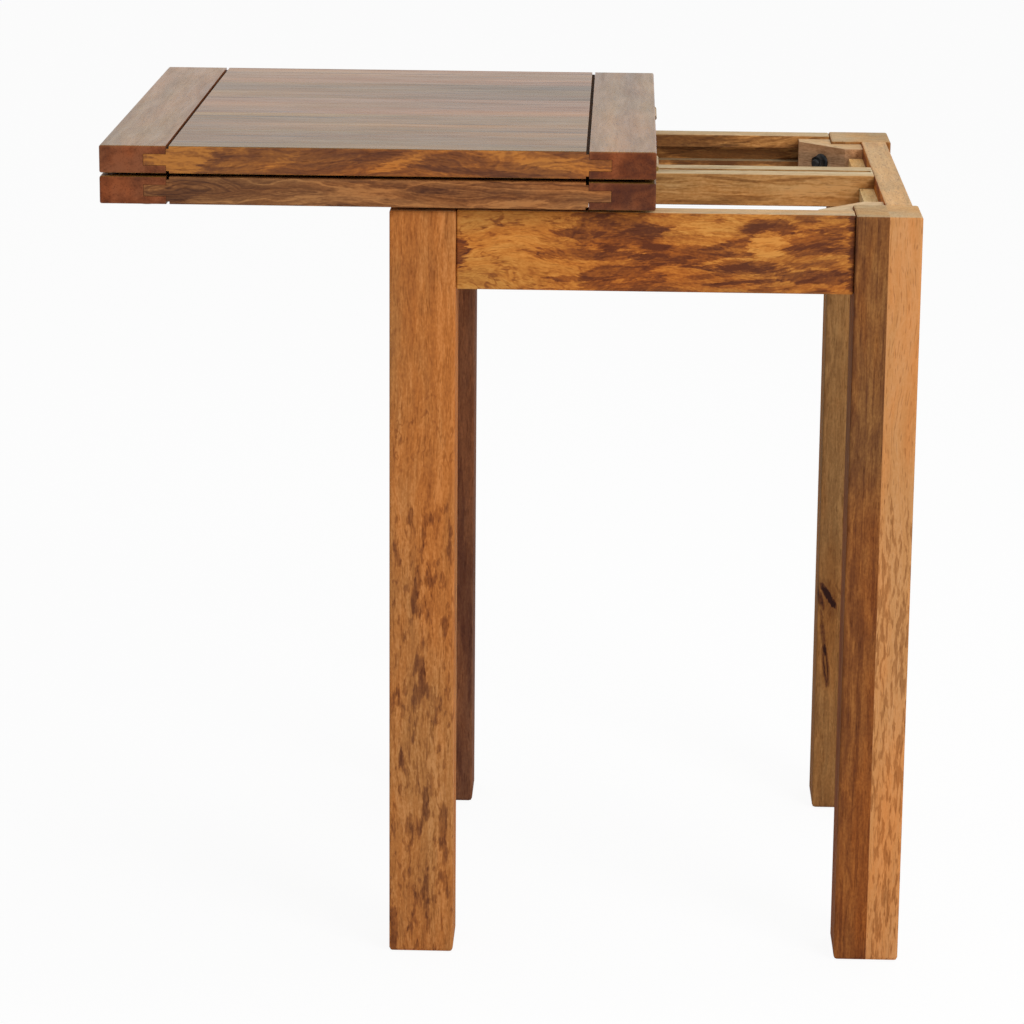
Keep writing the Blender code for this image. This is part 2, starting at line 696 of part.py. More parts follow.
STEM_OUT = APRON_IN_Y - SHOE_SIDE_GAP
STEM_IN = STEM_OUT - SHOE_STEM
SHOE_BOTTOM = CHANNEL_FLOOR + FIT
shoe_section = [
    (STEM_IN, SHOE_BOTTOM),
    (APRON_IN_Y + CHANNEL_DEPTH - SHOE_SIDE_GAP, SHOE_BOTTOM),
    (APRON_IN_Y + CHANNEL_DEPTH - SHOE_SIDE_GAP, CHANNEL_TOP - SHOE_TOP_GAP),
    (STEM_OUT, CHANNEL_TOP - SHOE_TOP_GAP),
    (STEM_OUT, LOWER_BOTTOM - FIT),
    (STEM_IN, LOWER_BOTTOM - FIT),
]
shoe_screw_places = []
SHOES = []
for depth, way in DEPTHS.items():
    name = depth + "_slide_shoe"
    section = [(way * y, z) for y, z in shoe_section]
    mesh = outline_mesh(name, section, SHOE_LENGTH, FACING_X)
    SHOES.append(add_part(name, mesh, BARE_WOOD, LOWER, moved((SHOE_X, 0.0, 0.0))))
    for side, step in SIDES.items():
        seat_x = SHOE_X + step * SHOE_LENGTH / 4
        seat = (seat_x, way * (STEM_IN + STEM_OUT) / 2, LOWER_BOTTOM - SHOE_SCREW_LAND)
        place = aimed(seat, (0, 0, 1))
        screw = f"{name}_{side}_screw"
        add_part(screw, screw_mesh(screw, *WOOD_SCREW), ZINC_STEEL, LOWER, place)
        shoe_screw_places.append(place)
shoe_holes = add_screw_holes("shoe_screw_holes", shoe_screw_places, WOOD_SCREW, CHANNEL_DROP + CHANNEL_HEIGHT)
for part in SHOES + LOWER_PANEL:
    combine(part, shoe_holes)


# Guide pegs in the lower leaf, which run in the centre rail's groove

PEG_RADIUS = RAIL_GROOVE_WIDTH / 2 - PEG_CLEARANCE
PEG_TOP = LOWER_BOTTOM + PEG_INSET
PEG_BOTTOM = FRAME_TOP - RAIL_GROOVE_DEPTH + PEG_TIP_GAP


def peg_place(inset, top):
    """Place of a peg, or of its hole, between the peg's lower end and a level."""
    return moved((LEAF_RIGHT - inset, 0.0, (PEG_BOTTOM + top) / 2))


for name, inset in (("near_guide_peg", PEG_NEAR), ("far_guide_peg", PEG_FAR)):
    peg = rod_mesh(name, PEG_RADIUS, PEG_TOP - PEG_BOTTOM)
    add_part(name, peg, BARE_WOOD, LOWER, peg_place(inset, PEG_TOP))
    hole_top = PEG_TOP + FIT
    hole_mesh = rod_mesh(name + "_hole", PEG_RADIUS + FIT, hole_top - PEG_BOTTOM)
    hole = add_cutter(name + "_hole", hole_mesh, peg_place(inset, hole_top))
    for board in LOWER_PANEL:
        combine(board, hole)


# Pads under the lower leaf, which glide on the front and back aprons and on the tops of the legs

pad_rows = {
    "left": LEAF_LEFT + PAD_INSET,
    "middle": BASE_X - BASE_LENGTH / 2 + LEG_WIDTH / 2,
    "right": LEAF_RIGHT - PAD_INSET,
}
for depth, way in DEPTHS.items():
    for row, x in pad_rows.items():
        name = f"{depth}_{row}_slide_pad"
        pad = rod_mesh(name, PAD_DIAMETER / 2, LEAF_STANDOFF - 2 * FIT)
        centre = (x, way * (APRON_OUT_Y - APRON_THICKNESS / 2), FRAME_TOP + LEAF_STANDOFF / 2)
        add_part(name, pad, FELT, LOWER, moved(centre))


# Hinges: plates let into the meeting faces of the leaves, with their knuckles on the hinge line

KNUCKLE_PITCH = HINGE_LENGTH / HINGE_KNUCKLES
PLATE_FACE = LEAF_GAP / 2
PLATE_BACK = PLATE_FACE + HINGE_PLATE_THICKNESS
ALONG_Y = Matrix.Rotation(math.pi / 2, 4, "X")
HINGE_SCREW = (HINGE_SCREW_LENGTH, HINGE_SCREW_RADIUS, HINGE_SCREW_HEAD_RADIUS, HINGE_SCREW_HEAD_HEIGHT)


def hinge_box(name, x_start, x_end, y_middle, length, level_start, level_end):
    """Hidden box beside the hinge line, measured from the hinge axis."""
    corner = HINGE_AXIS + Vector((x_start, y_middle - length / 2, level_start))
    opposite = HINGE_AXIS + Vector((x_end, y_middle + length / 2, level_end))
    return add_box_cutter(name, corner, opposite)


def add_hinge_plate(name, y, way, first_knuckle, carrier):
    """Hinge plate under (way -1) or over (way 1) the hinge line, with every second knuckle from the first."""
    low = HINGE_AXIS + Vector((-HINGE_PLATE_WIDTH, y - HINGE_LENGTH / 2, min(way * PLATE_FACE, way * PLATE_BACK)))
    high = HINGE_AXIS + Vector((0.0, y + HINGE_LENGTH / 2, max(way * PLATE_FACE, way * PLATE_BACK)))
    plate = add_slab(name, low, high, BRASS, carrier)
    own = []
    for knuckle in range(HINGE_KNUCKLES):
        knuckle_y = y + (knuckle + 0.5) * KNUCKLE_PITCH - HINGE_LENGTH / 2
        if knuckle % 2 == first_knuckle:
            own.append(moved(HINGE_AXIS + Vector((0.0, knuckle_y, 0.0))) @ ALONG_Y)
        else:
            clear = KNUCKLE_RADIUS + FIT
            room = hinge_box(
                f"{name}_gap_{knuckle}", -clear, clear, knuckle_y, KNUCKLE_PITCH + 2 * FIT,
                way * (PLATE_FACE - clear), way * (PLATE_BACK + clear),
            )
            combine(plate, room)
    barrel = rod_mesh(name + "_barrel", KNUCKLE_RADIUS, KNUCKLE_PITCH - FIT)
    combine(plate, add_cutter(name + "_knuckles", grouped_mesh(name + "_knuckles", barrel, own)), "UNION")
    bore = rod_mesh(name + "_bore", PIN_RADIUS + FIT, HINGE_LENGTH + 2 * BREAK_OUT)
    bore.transform(ALONG_Y)
    combine(plate, add_cutter(name + "_bore", bore, moved(HINGE_AXIS + Vector((0.0, y, 0.0)))))
    return plate


HINGE_LEAVES = (
    ("lower", -1, 0, LOWER, LOWER_BOARDS["lower_right_end_board"]),
    ("upper", 1, 1, UPPER, UPPER_BOARDS["upper_right_end_board"]),
)
HINGE_ROWS = {depth: way * (LEAF_DEPTH / 2 - HINGE_INSET) for depth, way in DEPTHS.items()}
for leaf, way, first_knuckle, carrier, board in HINGE_LEAVES:
    plates = []
    screw_places = []
    for depth, y in HINGE_ROWS.items():
        name = f"{depth}_hinge_{leaf}_plate"
        plates.append(add_hinge_plate(name, y, way, first_knuckle, carrier))
        recess = hinge_box(
            name + "_recess", -HINGE_PLATE_WIDTH - FIT, BREAK_OUT, y, HINGE_LENGTH + 2 * FIT,
            way * (PLATE_FACE - BREAK_OUT), way * (PLATE_BACK + FIT),
        )
        combine(board, recess)
        for number in range(HINGE_SCREWS):
            screw_y = y + ((number + 0.5) / HINGE_SCREWS - 0.5) * HINGE_LENGTH
            seat = HINGE_AXIS + Vector((-HINGE_SCREW_OFFSET, screw_y, way * PLATE_FACE))
            screw_places.append(aimed(seat, (0, 0, way)))
    holes = add_screw_holes(leaf + "_hinge_screw_holes", screw_places, HINGE_SCREW, BREAK_OUT)
    for part in plates + [board]:
        combine(part, holes)

for depth, y in HINGE_ROWS.items():
    pin = rod_mesh(depth + "_hinge_pin", PIN_RADIUS, HINGE_LENGTH)
    pin.transform(ALONG_Y)
    add_part(depth + "_hinge_pin", pin, BRASS, LOWER, moved(HINGE_AXIS + Vector((0.0, y, 0.0))))
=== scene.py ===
# %% [markdown]
# # A flip-top table in figured wood
#
# The real table is a square leg-and-apron base under two equal leaves. The pair slides sideways on the base, and the
# upper leaf then turns over about the hinges at its edge, which doubles the top. The wood is clear-varnished and
# strongly figured, with golden boards, dark flames and short dark flecks. This lesson dresses the solid model: first
# the camera and the light, then the wood, and last the small hardware that the solids leave plain.

# %% Load the frame
import json
import math

import bpy
import numpy as np
from mathutils import Matrix, Vector


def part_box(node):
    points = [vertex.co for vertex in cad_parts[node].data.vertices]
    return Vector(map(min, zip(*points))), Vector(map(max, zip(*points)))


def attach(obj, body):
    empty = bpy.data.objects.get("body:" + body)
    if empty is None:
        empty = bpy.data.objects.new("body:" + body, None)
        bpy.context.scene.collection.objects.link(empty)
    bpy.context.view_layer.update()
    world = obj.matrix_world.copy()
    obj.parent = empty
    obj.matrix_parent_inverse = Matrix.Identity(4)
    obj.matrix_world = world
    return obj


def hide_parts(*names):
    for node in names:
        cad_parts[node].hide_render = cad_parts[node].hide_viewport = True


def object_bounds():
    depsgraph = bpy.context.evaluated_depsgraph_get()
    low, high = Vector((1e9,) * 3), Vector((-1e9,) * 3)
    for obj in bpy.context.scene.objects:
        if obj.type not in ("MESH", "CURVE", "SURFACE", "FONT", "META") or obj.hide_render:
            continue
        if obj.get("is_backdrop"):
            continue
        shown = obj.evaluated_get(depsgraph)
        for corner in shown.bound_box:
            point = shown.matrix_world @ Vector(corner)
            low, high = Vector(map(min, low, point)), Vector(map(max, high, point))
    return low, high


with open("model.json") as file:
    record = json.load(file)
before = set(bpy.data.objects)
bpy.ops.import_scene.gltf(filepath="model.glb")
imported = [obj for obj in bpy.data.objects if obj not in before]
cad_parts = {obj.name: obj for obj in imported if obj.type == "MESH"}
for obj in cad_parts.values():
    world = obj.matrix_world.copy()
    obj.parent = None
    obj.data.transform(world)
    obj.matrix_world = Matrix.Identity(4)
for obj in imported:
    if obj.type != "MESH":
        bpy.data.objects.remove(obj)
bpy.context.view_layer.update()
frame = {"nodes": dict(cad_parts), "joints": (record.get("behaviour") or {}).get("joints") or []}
nodes = frame["nodes"]
hinge_line = next(Vector(joint["pos_m"]) for joint in frame["joints"] if joint["name"] == "leaf_flip")

# %% [markdown]
# ## Camera
#
# The photograph was taken from the front, a little above the top, with a long lens. A camera can be turned by eye,
# but here it was solved from the corners of the leaves and legs, which gives its place, its three turns and its focal
# length in pixels. The picture was cropped, so the optical axis isn't quite in its middle: a small shift says so.

# %% Camera
IMAGE_SIDE = 1024
CAMERA_PLACE = Vector((0.1003, -3.4051, 1.2928))
CAMERA_PITCH = math.radians(13.586)
CAMERA_YAW = math.radians(1.774)
CAMERA_ROLL = math.radians(0.477)
FOCAL_PIXELS = 3572.9
AXIS_ABOVE_MIDDLE = 100
SENSOR_WIDTH = 36.0

ahead = Vector((-math.sin(CAMERA_YAW) * math.cos(CAMERA_PITCH), math.cos(CAMERA_YAW) * math.cos(CAMERA_PITCH),
                -math.sin(CAMERA_PITCH)))
sideways = Vector((math.cos(CAMERA_YAW), math.sin(CAMERA_YAW), 0.0))
upright = sideways.cross(ahead)
right = sideways * math.cos(CAMERA_ROLL) + upright * math.sin(CAMERA_ROLL)
up = upright * math.cos(CAMERA_ROLL) - sideways * math.sin(CAMERA_ROLL)
camera_data = bpy.data.cameras.new("camera")
camera_data.sensor_width = SENSOR_WIDTH
camera_data.lens = FOCAL_PIXELS / IMAGE_SIDE * SENSOR_WIDTH
camera_data.shift_y = -AXIS_ABOVE_MIDDLE / IMAGE_SIDE
camera = bpy.data.objects.new("camera", camera_data)
bpy.context.scene.collection.objects.link(camera)
camera.matrix_world = Matrix.Translation(CAMERA_PLACE) @ Matrix((right, up, -ahead)).transposed().to_4x4()
bpy.context.scene.camera = camera
bpy.context.scene.view_settings.view_transform = "Standard"
print("lens", round(camera_data.lens, 1), "mm")

# %% [markdown]
# ## Shader maths as Python
#
# A wood shader is mostly arithmetic on a few coordinates. Wiring that by hand takes hundreds of lines, so one small
# class wraps a socket: adding or multiplying two of them adds a Math node, and plain numbers may stand on either
# side. Every other node comes from one method, which sets the node's settings first and its sockets after that.


# %% Sockets and trees
class Value:
    """One output socket of a node tree, which Python's operators turn into Math nodes."""

    def __init__(self, tree, socket):
        self.tree = tree
        self.socket = socket

    def maths(self, operation, first, second):
        return self.tree.add("ShaderNodeMath", {"operation": operation}, {0: first, 1: second})

    def __add__(self, other):
        return self.maths("ADD", self, other)

    def __radd__(self, other):
        return self.maths("ADD", other, self)

    def __sub__(self, other):
        return self.maths("SUBTRACT", self, other)

    def __rsub__(self, other):
        return self.maths("SUBTRACT", other, self)

    def __mul__(self, other):
        return self.maths("MULTIPLY", self, other)

    def __rmul__(self, other):
        return self.maths("MULTIPLY", other, self)

    def __truediv__(self, other):
        return self.maths("DIVIDE", self, other)

    def __pow__(self, other):
        return self.maths("POWER", self, other)

    def __abs__(self):
        return self.maths("ABSOLUTE", self, 0.0)


class Tree:
    """A node tree that is filled by one method, with the few mixtures that the finishes share."""

    def __init__(self, node_tree):
        self.nodes = node_tree.nodes
        self.links = node_tree.links

    def feed(self, socket, value):
        if isinstance(value, Value):
            self.links.new(value.socket, socket)
        else:
            socket.default_value = value

    def add(self, kind, settings=(), sockets=(), out=0):
        node = self.nodes.new(kind)
        for key, setting in dict(settings).items():
            if key == "stops":
                self.set_stops(node.color_ramp, setting)
            else:
                setattr(node, key, setting)
        for key, value in dict(sockets).items():
            self.feed(node.inputs[key], value)
        return Value(self, node.outputs[out])

    def set_stops(self, ramp, stops):
        while len(ramp.elements) < len(stops):
            ramp.elements.new(1.0)
        for element, (place, colour) in zip(ramp.elements, stops):
            element.position = place
            element.color = colour

    def smooth(self, value, start, end):
        """0 before start, 1 after end, with a soft step between them."""
        limits = {"Value": value, "From Min": start, "From Max": end}
        return self.add("ShaderNodeMapRange", {"interpolation_type": "SMOOTHSTEP"}, limits)

    def least(self, first, second):
        return self.add("ShaderNodeMath", {"operation": "MINIMUM"}, {0: first, 1: second})

    def most(self, first, second):
        return self.add("ShaderNodeMath", {"operation": "MAXIMUM"}, {0: first, 1: second})

    def vector_maths(self, operation, first, second=(0.0, 0.0, 0.0), out=0):
        return self.add("ShaderNodeVectorMath", {"operation": operation}, {0: first, 1: second}, out)

    def mix(self, factor, first, second, blend="MIX"):
        """Colour that goes from the first to the second."""
        settings = {"data_type": "RGBA", "blend_type": blend}
        return self.add("ShaderNodeMix", settings, {0: factor, 6: first, 7: second}, out=2)

    def ramp(self, value, *colours):
        """Evenly spaced colours along a value from 0 to 1."""
        places = np.linspace(0.0, 1.0, len(colours))
        return self.add("ShaderNodeValToRGB", {"stops": list(zip(places, colours))}, {"Fac": value})


def shade(red, green, blue):
    """Colour as read from a screen, 0 to 255, turned into the linear one that a shader takes."""
    screen = np.array([red, green, blue]) / 255.0
    linear = np.where(screen <= 0.04045, screen / 12.92, ((screen + 0.055) / 1.055) ** 2.4)
    return (*linear.tolist(), 1.0)


def new_finish(name):
    """Material, its tree and its Principled shader."""
    material = bpy.data.materials.new(name)
    material.use_nodes = True
    return material, Tree(material.node_tree), material.node_tree.nodes["Principled BSDF"]


print("a screen's middle grey is", [round(part, 3) for part in shade(128, 128, 128)[:3]], "to a shader")

# %% [markdown]
# ## Floor, background and light
#
# A studio picture has a pale sweep and large soft lights. The floor here is a wide sheet that stays white to the
# camera and in reflections, by way of Light Path, but keeps a small share of real light, and with it the table's
# soft shadow. The sky gives half of the light. A large lamp at the right gives most of the rest, because in the
# photograph the shadows inside the frame fall to the left.


# %% Floor and sky
def seen_directly(tree):
    """1 for what the camera sees straight, in a mirror or through glass, 0 for light on its way elsewhere."""
    paths = [tree.add("ShaderNodeLightPath", out=ray) for ray in
             ("Is Camera Ray", "Is Glossy Ray", "Is Transmission Ray")]
    return tree.most(paths[0], tree.most(paths[1], paths[2]))


FLOOR_HALF = 15.0
FLOOR_WHITE_SHARE = 0.93
SKY_STRENGTH = 0.55
WHITE = (1.0, 1.0, 1.0, 1.0)

floor_mesh = bpy.data.meshes.new("floor")
floor_corners = np.array([[-1, -1, 0], [1, -1, 0], [1, 1, 0], [-1, 1, 0]]) * FLOOR_HALF
floor_mesh.from_pydata(floor_corners.tolist(), [], [(0, 1, 2, 3)])
floor = bpy.data.objects.new("floor", floor_mesh)
bpy.context.scene.collection.objects.link(floor)
floor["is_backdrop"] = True

floor_material, tree, shader = new_finish("floor_white")
shader.inputs["Base Color"].default_value = (0.9, 0.9, 0.9, 1.0)
shader.inputs["Roughness"].default_value = 0.9
shader.inputs["Specular IOR Level"].default_value = 0.0
white = tree.add("ShaderNodeEmission", {}, {"Color": WHITE, "Strength": 1.0})
share = seen_directly(tree) * FLOOR_WHITE_SHARE
lit = Value(tree, shader.outputs[0])
sweep = tree.add("ShaderNodeMixShader", {}, {0: share, 1: lit, 2: white})
tree.feed(tree.nodes["Material Output"].inputs["Surface"], sweep)
floor_mesh.materials.append(floor_material)

world = bpy.data.worlds.new("sky")
bpy.context.scene.world = world
world.use_nodes = True
tree = Tree(world.node_tree)
light_sky = tree.add("ShaderNodeBackground", {}, {"Color": WHITE, "Strength": SKY_STRENGTH})
white_sky = tree.add("ShaderNodeBackground", {}, {"Color": WHITE, "Strength": 1.0})
sky = tree.add("ShaderNodeMixShader", {}, {0: seen_directly(tree), 1: light_sky, 2: white_sky})
tree.feed(tree.nodes["World Output"].inputs["Surface"], sky)
print("floor of", 2 * FLOOR_HALF, "m and a sky of strength", SKY_STRENGTH)

# %% Lamps
TABLE_MIDDLE = Vector((0.1, 0.0, 0.5))


def add_lamp(name, place, side, watts):
    """Square soft lamp at a place, turned to the table."""
    lamp_data = bpy.data.lights.new(name, "AREA")
    lamp_data.size = side
    lamp_data.energy = watts
    lamp = bpy.data.objects.new(name, lamp_data)
    bpy.context.scene.collection.objects.link(lamp)
    lamp.location = place
    lamp.rotation_euler = (TABLE_MIDDLE - Vector(place)).to_track_quat("-Z", "Y").to_euler()
    return lamp


key_lamp = add_lamp("key_lamp", (2.1, -2.3, 2.4), side=1.4, watts=62.0)
top_lamp = add_lamp("top_lamp", (0.6, 0.4, 3.2), side=1.6, watts=22.0)
print("lamps of", key_lamp.data.energy, "and", top_lamp.data.energy, "W")

# %% [markdown]
# ## Wood as a solid
#
# A flat picture of wood would not turn the corner from a board's face to its end. So each piece gets its figure as a
# solid: three coordinates measured from its middle, one along the grain, one across its best face and one through
# it. Noise that is stretched along the grain gives fibres, pores and flames, and the same noise shows as dots on the
# end. Real grain wavers, so the place across it is pushed to and fro a little. A seed moves the pattern, so no two
# boards are alike.


# %% Grain of one piece
X_WAY = Vector((1, 0, 0))
Y_WAY = Vector((0, 1, 0))
Z_WAY = Vector((0, 0, 1))
CURLY_WAVER = 0.03


class Grain:
    """Coordinates of one piece of wood, in metres from its middle: along, across and through the grain."""

    def __init__(self, tree, node, along, across, seed, waver):
        low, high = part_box(node)
        self.half = (high - low) / 2
        self.tree = tree
        self.seed = seed
        self.curl = waver / CURLY_WAVER
        self.direction = Vector(along).normalized()
        origin = tree.add("ShaderNodeTexCoord", out="Object")
        self.from_middle = tree.vector_maths("SUBTRACT", origin, (low + high) / 2)
        sideways = Vector(across).normalized()
        self.along = self.measured(self.direction)
        self.across = self.measured(sideways)
        self.through = self.measured(self.direction.cross(sideways))
        self.place = self.joined(self.along, self.across, self.through)
        push = (self.noise(9.0, 14.0, 1.0, salt=20) - 0.5) * waver
        self.place = self.joined(self.along, self.across + push, self.through)

    def measured(self, direction):
        return self.tree.vector_maths("DOT_PRODUCT", self.from_middle, direction, out="Value")

    def joined(self, along, across, through):
        return self.tree.add("ShaderNodeCombineXYZ", {}, {0: along, 1: across, 2: through})

    def noise(self, along, across, detail=1.0, salt=0.0, place=None, roughness=0.5, swirl=0.0):
        """Noise with so many features a metre along the grain and across it, which a swirl makes curly."""
        seeds = (self.seed * 7.31 + salt * 3.7, self.seed * 5.17 + salt * 9.2, self.seed * 2.93 + salt * 6.6)
        stretch = {"Vector": place or self.place, "Location": seeds, "Scale": (along, across, across)}
        vector = self.tree.add("ShaderNodeMapping", {}, stretch)
        sockets = {
            "Vector": vector, "Scale": 1.0, "Detail": detail, "Roughness": roughness, "Distortion": swirl,
        }
        return self.tree.add("ShaderNodeTexNoise", {"noise_dimensions": "3D"}, sockets)

    def stretch_of(self, limits):
        """1 between two places along the grain, given as (fade in, full, full, fade out)."""
        start, full, last, end = limits
        return self.tree.smooth(self.along, start, full) * (1 - self.tree.smooth(self.along, last, end))

    def edges(self, width):
        """1 on the edges of the piece's box, fading out over a width: two of the three faces must be near."""
        reach = self.tree.vector_maths("ABSOLUTE", self.from_middle)
        depth = self.tree.vector_maths("SUBTRACT", self.half, reach)
        split = [self.tree.add("ShaderNodeSeparateXYZ", {}, {0: depth}, out=axis) for axis in range(3)]
        near = self.tree.least(split[0], split[1])
        far = self.tree.most(split[0], split[1])
        second = self.tree.most(near, self.tree.least(far, split[2]))
        return self.tree.smooth(second, width, 0.0)

    def facing(self, direction):
        """1 on the faces that look along a direction."""
        normal = self.tree.add("ShaderNodeTexCoord", out="Normal")
        turned_to = self.tree.vector_maths("DOT_PRODUCT", normal, direction, out="Value")
        return self.tree.smooth(turned_to, 0.7, 0.95)

    def sunk(self, shallow, deep):
        """1 where the wood lies between two depths in from the piece's top or bottom."""
        depth = self.half.z - abs(self.measured(Z_WAY))
        past_shallow = self.tree.smooth(depth, shallow * 0.5, shallow)
        past_deep = self.tree.smooth(depth, deep, deep * 1.2)
        return past_shallow * (1 - past_deep)


print("a grain has", [name for name in vars(Grain) if not name.startswith("_")])

# %% [markdown]
# ## Tone of plain wood
#
# Before any heart shows, a board is a play of light and dark: broad zones, streaks along the grain, short curly
# fibres, a fine speckle and growth rings. Rings are cylinders round the tree's middle. A board cut near the middle
# shows straight lines and one cut to the side shows arches and loops, so each piece only needs the place of that
# middle beside it. Everything is added up to one number, a tone from 0 for the palest wood to 1 for the darkest.


# %% Tone of plain wood
def growth_rings(grain, middle, spacing, sway):
    """Lighter and darker years, about -0.3 to 0.3, round the tree's middle line (across, through).

    The distance is the root of the two offsets' squares, plus slow noise times the sway. Noise in one dimension,
    read at the distance over the spacing, makes every year a different one.
    """
    slow = grain.noise(4.0, 11.0, 2.0, salt=1) - 0.5
    quick = grain.noise(18.0, 50.0, 2.0, salt=2) - 0.5
    across = grain.across - middle[0]
    through = grain.through - middle[1]
    distance = (across * across + through * through) ** 0.5 + slow * sway + quick * (sway * 0.5)
    years = {"W": distance / spacing + grain.seed, "Scale": 1.0, "Detail": 2.0, "Roughness": 0.6}
    return grain.tree.add("ShaderNodeTexNoise", {"noise_dimensions": "1D"}, years) - 0.5


def streaks(grain):
    """Streaks along the grain, coarse to fine, about -0.3 to 0.3."""
    return grain.noise(12.0, 130.0, 4.0, salt=3, roughness=0.65) - 0.5


def plain_tone(grain, streak, rings):
    """The slow zones of a piece, and its texture of streaks, fibres, speckle and rings, both round 0."""
    middle, spacing, sway, share = rings
    zone = grain.noise(2.6, 13.0, 3.0, salt=7) - 0.5
    fibre = grain.noise(20.0 + 55.0 * grain.curl, 330.0, 2.0, salt=19, swirl=1.2 * grain.curl) - 0.5
    speckle = grain.noise(280.0, 560.0, 1.0, salt=21) - 0.5
    ring = growth_rings(grain, middle, spacing, sway)
    return zone * 0.5, streak * 0.55 + fibre * 0.45 + speckle * 0.4 + ring * share


print("plain wood is made of zones, streaks, fibres, speckle and rings")

# %% [markdown]
# ## Marks of the dark heart
#
# What makes this wood lively is its dark heart. It runs through the golden sapwood as flames with combed edges, it
# breaks up into short flecks lower on the legs, and in places the grain curls into thin dark lines. Each of these is
# a mark that adds to the tone. Most are noise cut at a level; the large spots of the showpiece boards are listed one
# by one. The combing comes from moving each fibre a little along the grain before the cut.

# %% Marks of the dark heart
EVERYWHERE = (-10.0, -9.0, 9.0, 10.0)


def moved_fibres(grain, reach):
    """The place along the grain, with every fibre moved by its own small amount."""
    return grain.along + (grain.noise(30.0, 420.0, 3.0, salt=5, roughness=0.6) - 0.5) * reach


def combed(grain, reach, lean=0.0):
    """The grain's place with moved fibres, leaning across."""
    return grain.joined(moved_fibres(grain, reach), grain.across - grain.along * lean, grain.through)


def two_steps(tree, field, level, width):
    """Half from a level on, and the rest a little further in: a dark core with a brown rim."""
    rim = tree.smooth(field, level, level + width)
    core = tree.smooth(field, level + width, level + 4 * width)
    return rim * 0.5 + core * 0.5


def flames(level, size, lean=0.0, reach=0.06, where=EVERYWHERE, amount=0.5):
    """Mark of large dark tongues along the grain, where noise of the given size passes a level."""
    def mark(grain):
        place = combed(grain, reach, lean)
        field = grain.noise(1 / size[0], 1 / size[1], 5.0, salt=6, place=place, roughness=0.6)
        kept = field - (1 - grain.stretch_of(where)) * 0.4
        return two_steps(grain.tree, kept, level, 0.016) * amount
    return mark


def bands(width, amount):
    """Mark of soft bands along the whole length, lighter and darker."""
    def mark(grain):
        return (grain.noise(1.5, 1 / width, 1.0, salt=23) - 0.5) * amount
    return mark


def flecks(level, size, where=EVERYWHERE, amount=0.4):
    """Mark of short ragged dabs along the grain, in clusters."""
    def mark(grain):
        field = grain.noise(1 / size[0], 1 / size[1], 3.0, salt=8, place=combed(grain, size[0] * 0.5))
        cluster = grain.noise(0.3 / size[0], 0.3 / size[1], 1.0, salt=9) - 0.5
        kept = field + cluster * 0.35 - (1 - grain.stretch_of(where)) * 0.3
        return two_steps(grain.tree, kept, level, 0.02) * amount
    return mark


def curls(size, where=EVERYWHERE, amount=0.3):
    """Mark of thin dark lines where slow noise crosses its middle, kept to some patches."""
    def mark(grain):
        field = grain.noise(1 / size[0], 1 / size[1], 2.0, salt=11)
        line = 1 - grain.tree.smooth(abs(field - 0.5), 0.004, 0.05)
        patch = grain.tree.smooth(grain.noise(1 / size[0], 1 / size[1], 2.0, salt=12), 0.46, 0.6)
        return line * patch * grain.stretch_of(where) * amount
    return mark


def spots(places, reach=0.04, ragged=5.0, fine=1.0, edge=0.12, depth=None):
    """Mark of ragged oval spots at listed places: (along, across, half length, half width, lean, amount).

    A spot is where the sum of the squared offsets over the half sizes, with noise added, is less than about 1.
    Small spots need finer noise, and a wide edge makes them soft. With a depth (middle, half) the spots end
    there, through the piece.
    """
    def mark(grain):
        tree = grain.tree
        along = moved_fibres(grain, reach)
        rough = (grain.noise(32.0 * fine, 120.0 * fine, 5.0, salt=16, roughness=0.7) - 0.5) * ragged
        total = 0.0
        for place_along, place_across, length, width, lean, amount in places:
            step = along - place_along
            side = grain.across - place_across - step * lean
            oval = step * step / length ** 2 + side * side / width ** 2 + rough
            total = two_steps(tree, 1.4 - oval, 0.0, edge) * amount + total
        if depth:
            total = total * (1 - tree.smooth(abs(grain.through - depth[0]), depth[1] * 0.5, depth[1]))
        return total
    return mark


print("flames, bands, flecks, curls and spots add to the tone")

# %% [markdown]
# ## One varnished piece
#
# A ramp turns the tone into colour, from a piece's palest wood to its heart. Noise pulls it towards orange or olive
# in patches large and small, pores are short dark dashes, end grain is darker and redder, and edges are rubbed a
# little lighter. Faces that look up and down may take a share of another palette, which is painted light and shade,
# and shallow grooves are painted dark as shade. The varnish is a satin shine whose roughness follows the streaks,
# and a slight bump keeps it from looking like plastic.


# %% Colours of the wood
def wood(*screen_colours):
    """Palette of one wood, from its palest tone to its darkest."""
    return tuple(shade(*colour) for colour in screen_colours)


GOLD = wood((206, 140, 68), (188, 120, 53), (158, 92, 40), (122, 68, 35), (94, 50, 31))
ORANGE = wood((198, 134, 80), (176, 113, 61), (154, 95, 52), (128, 77, 45), (106, 61, 38))
CHESTNUT = wood((184, 114, 52), (152, 91, 45), (126, 74, 41), (104, 60, 38), (86, 50, 34))
RUSSET = wood((168, 113, 67), (140, 91, 54), (118, 74, 44), (98, 60, 38), (80, 48, 33))
UMBER = wood((148, 108, 53), (121, 86, 38), (97, 66, 26), (76, 50, 20), (54, 36, 15))
MAHOGANY = wood((150, 94, 58), (126, 76, 45), (102, 60, 38), (84, 48, 34), (68, 38, 30))
DUSKY = wood((164, 112, 78), (138, 92, 66), (116, 76, 56), (98, 62, 48), (80, 48, 40))
WALNUT = wood((150, 100, 55), (128, 81, 45), (110, 67, 39), (94, 56, 36), (80, 46, 32))
OLIVE = wood((160, 114, 68), (136, 94, 55), (118, 79, 46), (92, 57, 38), (46, 28, 26))
PALE = wood((208, 147, 96), (197, 134, 80), (176, 116, 68), (154, 98, 55), (134, 82, 46))
STRAW = wood((218, 184, 132), (200, 162, 108), (164, 124, 76), (126, 90, 54), (92, 62, 38))
